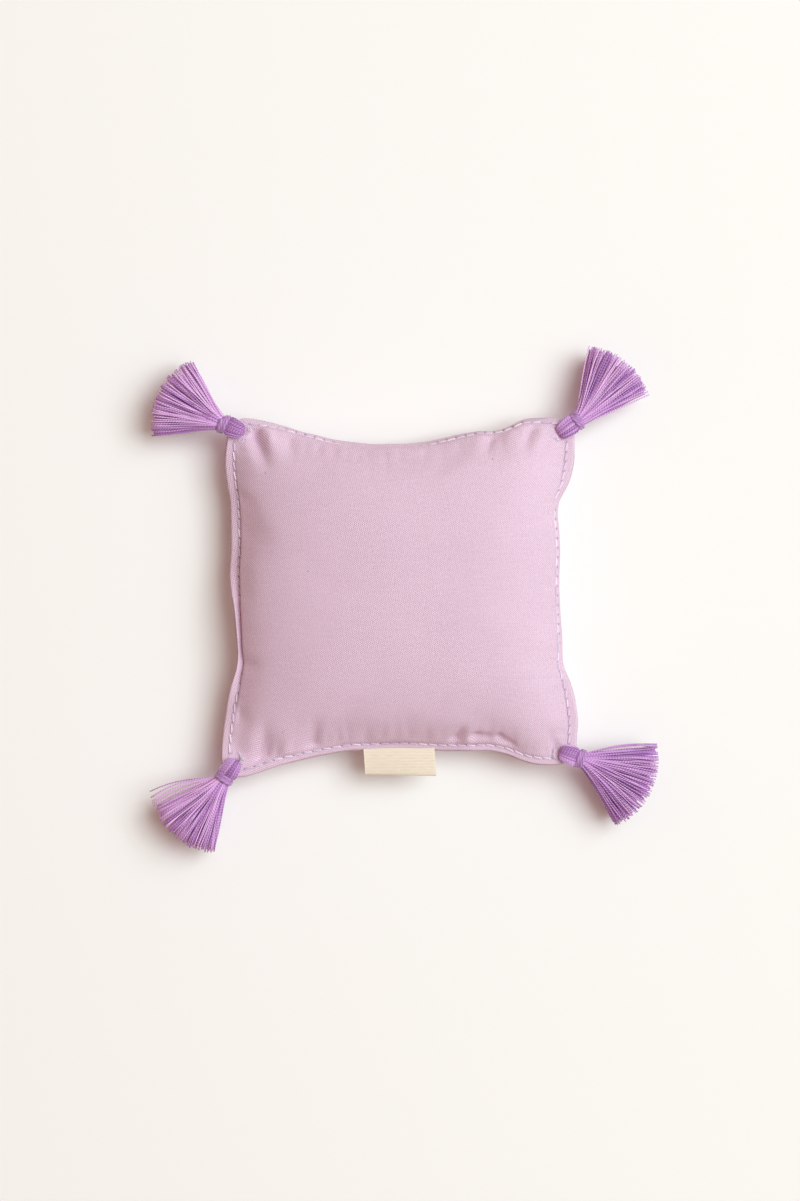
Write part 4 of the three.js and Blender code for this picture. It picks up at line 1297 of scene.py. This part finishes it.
cotton, tree, shader = finish_graph("dusty_lavender_twill", Roughness=0.88, Sheen_Weight=0.12,
                                    Sheen_Roughness=0.45, Specular_IOR_Level=0.2)
x, y = map_xy(tree, "cloth", 2 * HALF)
cloth_place = flat_place(x, y)
slope, cross = x * TWILL_X + y * TWILL_Y, x * TWILL_Y - y * TWILL_X
uneven = noise_at(cloth_place, 1.6, 2.0) * 2.2
twill = (slope * (2 * np.pi / TWILL_PERIOD) + uneven).wave()
floats = (cross + slope * 0.5).wave(FLOAT_PERIOD)
weave = twill * 0.7 + floats * 0.3
slubs = noise_at(flat_place(x * 0.12, y * 2.6), 1.0, 3.0)
warps = noise_at(flat_place(x * 2.6, y * 0.12), 1.0, 3.0)
fuzz = noise_at(cloth_place, 3.2, 3.0)
clouds = noise_at(cloth_place, 0.06, 2.0)
flecks = noise_at(cloth_place, 1.7, 3.0).remap(0.36, 0.68)
tone = weave * 0.52 + slubs * 0.16 + warps * 0.10 + fuzz * 0.20 + clouds * 0.12 + flecks * 0.14
down = y - 2 * HALF  # from the upper left corner, where the light rakes across the cloth: painted light and shade of the weave
raking_light_reach = (x * x + down * down).math("SQRT")
# Painted light and shade: the weave's contrast in the colour rises towards the upper left, where
# the light rakes across the cloth.
tone = tone + (weave - 0.5) * raking_light_reach.remap(12, 60, 0.55, 0)
colour = tone.remap(0.21, 0.89).between(COTTON_DARK, COTTON_LIGHT)
out_x, out_y = (x - HALF).math("ABSOLUTE"), (y - HALF).math("ABSOLUTE")
edge = out_x.math("MAXIMUM", out_y).remap(49.3, 49.95)
colour = (edge * fuzz.remap(0.35, 0.65, 0.1, 0.45)).between(colour, COTTON_WORN)
# Painted shade: the cloth is darkened at the needle holes at both ends of every stitch, standing
# for the shade inside them.
hole_shades = []
for along, across in ((x, out_y), (y, out_x)):
    step = (along + HOLE_SHADE_START) * (1 / STITCH_PITCH)
    off = step.math("PINGPONG", 0.5) * STITCH_PITCH
    aside = (across - (HALF - STITCH_INSET)).math("ABSOLUTE")
    hole_shades.append(off.math("MAXIMUM", aside).remap(0.1, 0.5, 1, 0))
colour = (hole_shades[0].math("MAXIMUM", hole_shades[1]) * 0.6).between(colour, NEEDLE_HOLE_SHADE)
specks = node(tree, "ShaderNodeTexVoronoi", {"Vector": cloth_place, "Scale": 0.11})[0]
colour = (specks.math("LESS_THAN", 0.026) * 0.55).between(colour, SPECK_COLOUR)
close_graph(shader, colour, weave * 0.6 + fuzz * 0.7, 1.0, 0.18)
for piece in (face_cover, back_cover):
    piece.data.materials.append(cotton)
print("cotton nodes:", len(tree.nodes))

# %% Twisted threads: floss, binding and stitching


def thread_finish(name, dark, light, plies, pitch, roughness, sheen):
    """A twisted thread: its plies turn round it, painted lighter on their crests and darker in
    their grooves as highlight and shade, and each thread has its own shade.
    """
    material, tree, shader = finish_graph(name, Roughness=roughness, Sheen_Weight=sheen,
                                          Sheen_Roughness=0.35, Specular_IOR_Level=0.35)
    along, turn = map_xy(tree, "thread")
    twist = turn * (2 * np.pi * plies) + along * (2 * np.pi / pitch)
    shade = node(tree, "ShaderNodeAttribute", attribute_name="shade")[2]
    # Painted highlight and shade of the plies. The same wave is also the bump of their relief.
    ply_shading = (twist + shade * 90.0).wave()
    fibre = noise_at(object_place(tree), 2600.0, 3.0)
    blotch = noise_at(object_place(tree), 420.0, 2.0)
    tone = ply_shading * 0.36 + shade * 0.54 + fibre * 0.16 + blotch * 0.12
    close_graph(shader, tone.remap(0.22, 0.92).between(dark, light), ply_shading + fibre * 0.4, 0.7, 0.06)
    return material


floss = thread_finish("lilac_floss", (0.33, 0.09, 0.44, 1), (1.0, 0.63, 1.0, 1),
                      1, 0.78, 0.5, 0.3)
binding_floss = thread_finish("binding_floss", (0.34, 0.15, 0.40, 1), (0.70, 0.42, 0.78, 1),
                              3, 1.5, 0.5, 0.25)
stitch_cotton = thread_finish("pale_stitch_thread", (0.64, 0.50, 0.68, 1), (0.98, 0.90, 1.0, 1),
                              3, 0.8, 0.6, 0.15)
for corner in TASSELS:
    loops[corner].data.materials.append(floss)
    skirts[corner].data.materials.append(floss)
    bindings[corner].data.materials.append(binding_floss)
for piece in (needle_stitches, bobbin_stitches, frayed_ends):
    piece.data.materials.append(stitch_cotton)
print("thread finishes:", floss.name, binding_floss.name, stitch_cotton.name)

# %% Ribbed cream tape
TAPE_DARK = (0.80, 0.67, 0.52, 1)
TAPE_LIGHT = (0.96, 0.88, 0.74, 1)
SELVEDGE_COLOUR = (0.99, 0.91, 0.80, 1)
FOLD_SHADE_COLOUR = (0.55, 0.42, 0.30, 1)
RIB_PERIOD = 0.42
WARP_PERIOD = 0.3

tape_finish, tree, shader = finish_graph("ribbed_cream_tape", Roughness=0.8, Sheen_Weight=0.1,
                                         Sheen_Roughness=0.5, Specular_IOR_Level=0.25)
x, y = map_xy(tree, "tape")
ribs, warp = y.wave(RIB_PERIOD), x.wave(WARP_PERIOD)
yarn = noise_at(flat_place(x * 0.4, y * 2.5), 1.2, 3.0)
tone = ribs * 0.3 + warp * 0.12 + yarn * 0.6
colour = tone.remap(0.2, 0.8).between(TAPE_DARK, TAPE_LIGHT)
selvedge = (x - TAPE_WIDTH / 2).math("ABSOLUTE").math("GREATER_THAN", 9.6)
colour = (selvedge * 0.3).between(colour, SELVEDGE_COLOUR)
# Painted shade along the fold of the tape.
fold_shade = (y - tape_length[-1] / 2).math("ABSOLUTE").remap(0.05, 0.4, 0.35, 0)
close_graph(shader, fold_shade.between(colour, FOLD_SHADE_COLOUR), ribs + warp * 0.5, 0.6, 0.06)
tape_label.data.materials.append(tape_finish)
print("tape nodes:", len(tree.nodes))

# %% Wadding and dried flowers


def loose_finish(name, dark, light, scale, depth):
    """A tangle of fibres or of small dry pieces."""
    material, tree, shader = finish_graph(name, Roughness=0.95, Sheen_Weight=0.2)
    tangle = noise_at(object_place(tree), scale, 5.0, Distortion=1.5)
    strands = noise_at(object_place(tree), scale * 4, 4.0)
    tone = tangle * 0.6 + strands * 0.4
    close_graph(shader, tone.remap(0.3, 0.7).between(dark, light), tone, 0.8, depth)
    return material


wadding_finish = loose_finish("lofty_wadding", (0.72, 0.71, 0.67, 1), (0.94, 0.93, 0.90, 1),
                              260.0, 0.8)
flower_finish = loose_finish("dried_lavender", (0.10, 0.075, 0.15, 1), (0.34, 0.27, 0.42, 1),
                             420.0, 0.5)
for piece in (face_pad, back_pad):
    piece.data.materials.append(wadding_finish)
for piece in (flower_heart, buds):
    piece.data.materials.append(flower_finish)
print("stuffing finishes:", wadding_finish.name, flower_finish.name)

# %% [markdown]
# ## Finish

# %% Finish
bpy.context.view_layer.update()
deselect_all()
